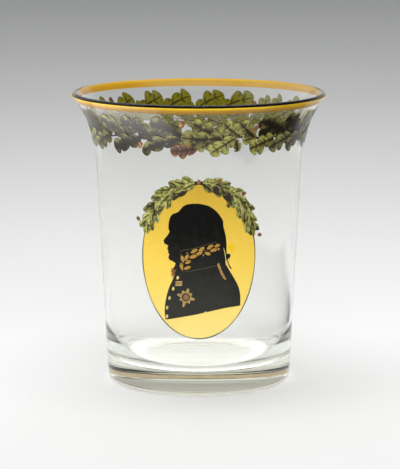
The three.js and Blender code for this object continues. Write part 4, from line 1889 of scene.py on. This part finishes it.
@dataclass
class Studio:
    """The floor, the light and the camera."""

    camera_back: float = 0.8863
    camera_height: float = 0.2008
    camera_aside: float = 0.0004
    pitch: float = 9.5726
    focal_pixels: float = 2556.0
    image_height: int = 469
    sensor: float = 36.0

    def build_floor(self) -> None:
        """A wide flat floor under the foot."""
        mesh = bmesh.new()
        bmesh.ops.create_circle(mesh, cap_ends=True, segments=96, radius=8.0)
        data = bpy.data.meshes.new("floor")
        mesh.to_mesh(data)
        mesh.free()
        data.materials.append(FloorPaint("floor_paint").material())
        floor = bpy.data.objects.new("floor", data)
        bpy.context.scene.collection.objects.link(floor)

    def build_world(self) -> None:
        """A soft dome, brightest overhead, dark towards the camera and on the right.

        Behind the beaker it is pale, with a grey band low down, which the thick base shows.
        """
        world = bpy.data.worlds.new("studio")
        bpy.context.scene.world = world
        world.use_nodes = True
        book = NodeBook(world.node_tree)
        coordinate = book.node("ShaderNodeTexCoord")
        parts = book.node("ShaderNodeSeparateXYZ", inputs={0: coordinate.outputs["Generated"]})
        aside, away, height = (Value(book, output) for output in parts.outputs)
        around = [(0.0, srgb(130, 130, 128)), (0.3, srgb(176, 176, 172)), (0.8, srgb(252, 252, 252))]
        grey = book.ramp(height, around)
        behind = ((0.0, 214), (0.17, 214), (0.21, 172), (0.29, 176), (0.35, 228), (0.8, 252))
        pale = book.ramp(height, [(place, srgb(g, g, g)) for place, g in behind])
        grey = book.mix(away.step(0.1, 0.4), grey, pale)
        shaded = away.step(-0.1, -0.5).at_least(aside.step(0.3, 0.7)) * height.step(0.92, 0.8)
        shaded = shaded * height.step(0.2, 0.4)
        light = book.mix(shaded, grey, srgb(84, 70, 56))
        sky = book.node("ShaderNodeBackground", inputs={"Color": light, "Strength": 1.0})
        book.node("ShaderNodeOutputWorld", inputs={"Surface": sky.outputs[0]})

    def lamp(
        self,
        name: str,
        kind: str,
        place: tuple[float, float, float],
        target: tuple[float, float, float],
        hidden_from: Sequence[str],
        settings: dict[str, object],
    ) -> None:
        """A lamp that faces a point.

        Args:
            name: Its name.
            kind: Blender's kind of lamp.
            place: Where it hangs.
            target: What it faces.
            hidden_from: The rays that don't see it.
            settings: Its power and its other settings.
        """
        data = bpy.data.lights.new(name, kind)
        for setting, value in settings.items():
            setattr(data, setting, value)
        made = bpy.data.objects.new(name, data)
        made.location = place
        made.rotation_euler = (Vector(target) - Vector(place)).to_track_quat("-Z", "Y").to_euler()
        for ray in hidden_from:
            setattr(made, f"visible_{ray}", False)
        bpy.context.scene.collection.objects.link(made)

    def build_lamps(self) -> None:
        """A key and a fill that nothing mirrors, a light down the beaker, and a low glow at the left."""
        middle, soft = (0, 0, 0), math.radians(50)
        mirrors = ("glossy", "transmission")
        self.lamp("key", "SUN", (-0.05, -0.25, 1.5), middle, mirrors, {"energy": 1.2, "angle": soft})
        self.lamp("fill", "SUN", (0.1, -1.0, 0.35), middle, mirrors, {"energy": 1.05, "angle": soft})
        narrow = {"spot_size": math.radians(3.9), "spot_blend": 0.35, "shadow_soft_size": 0.004}
        above_floor, on_floor = (0, 0.003, 1.0), (0, 0.003, 0)
        self.lamp("down_light", "SPOT", above_floor, on_floor, mirrors, {"energy": 23.0, **narrow})
        sheet = {"shape": "RECTANGLE", "size": 0.15, "size_y": 0.27, "spread": 2.2}
        place, overhead = (-0.125, -0.035, 0.002), (-0.125, -0.035, 1)
        self.lamp("low_glow", "AREA", place, overhead, ("camera", "transmission"), {"energy": 0.3, **sheet})

    def build_camera(self) -> None:
        """The photograph's viewpoint."""
        data = bpy.data.cameras.new("camera")
        data.sensor_width = self.sensor
        data.lens = self.focal_pixels * self.sensor / self.image_height
        data.clip_start, data.clip_end = 0.01, 50.0
        camera = bpy.data.objects.new("camera", data)
        camera.location = (self.camera_aside, -self.camera_back, self.camera_height)
        camera.rotation_euler = (math.radians(90 - self.pitch), 0.0, 0.0)
        bpy.context.scene.collection.objects.link(camera)
        bpy.context.scene.camera = camera

    def build(self) -> None:
        """Sets the stage."""
        bpy.context.scene.view_settings.view_transform = "Standard"
        self.build_floor()
        self.build_world()
        self.build_lamps()
        self.build_camera()


def main() -> None:
    """Builds the pieces in order."""
    logging.basicConfig(level=logging.INFO, format="%(name)s %(message)s")
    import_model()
    Studio().build()
    form = GlassForm()
    Vessel(form).build()
    band = RimBand(form)
    band.build()
    garland = OakGarland(form, band.foot)
    garland.build()
    Medallion(form, garland.foot).build()


if __name__ == "__main__":
    main()
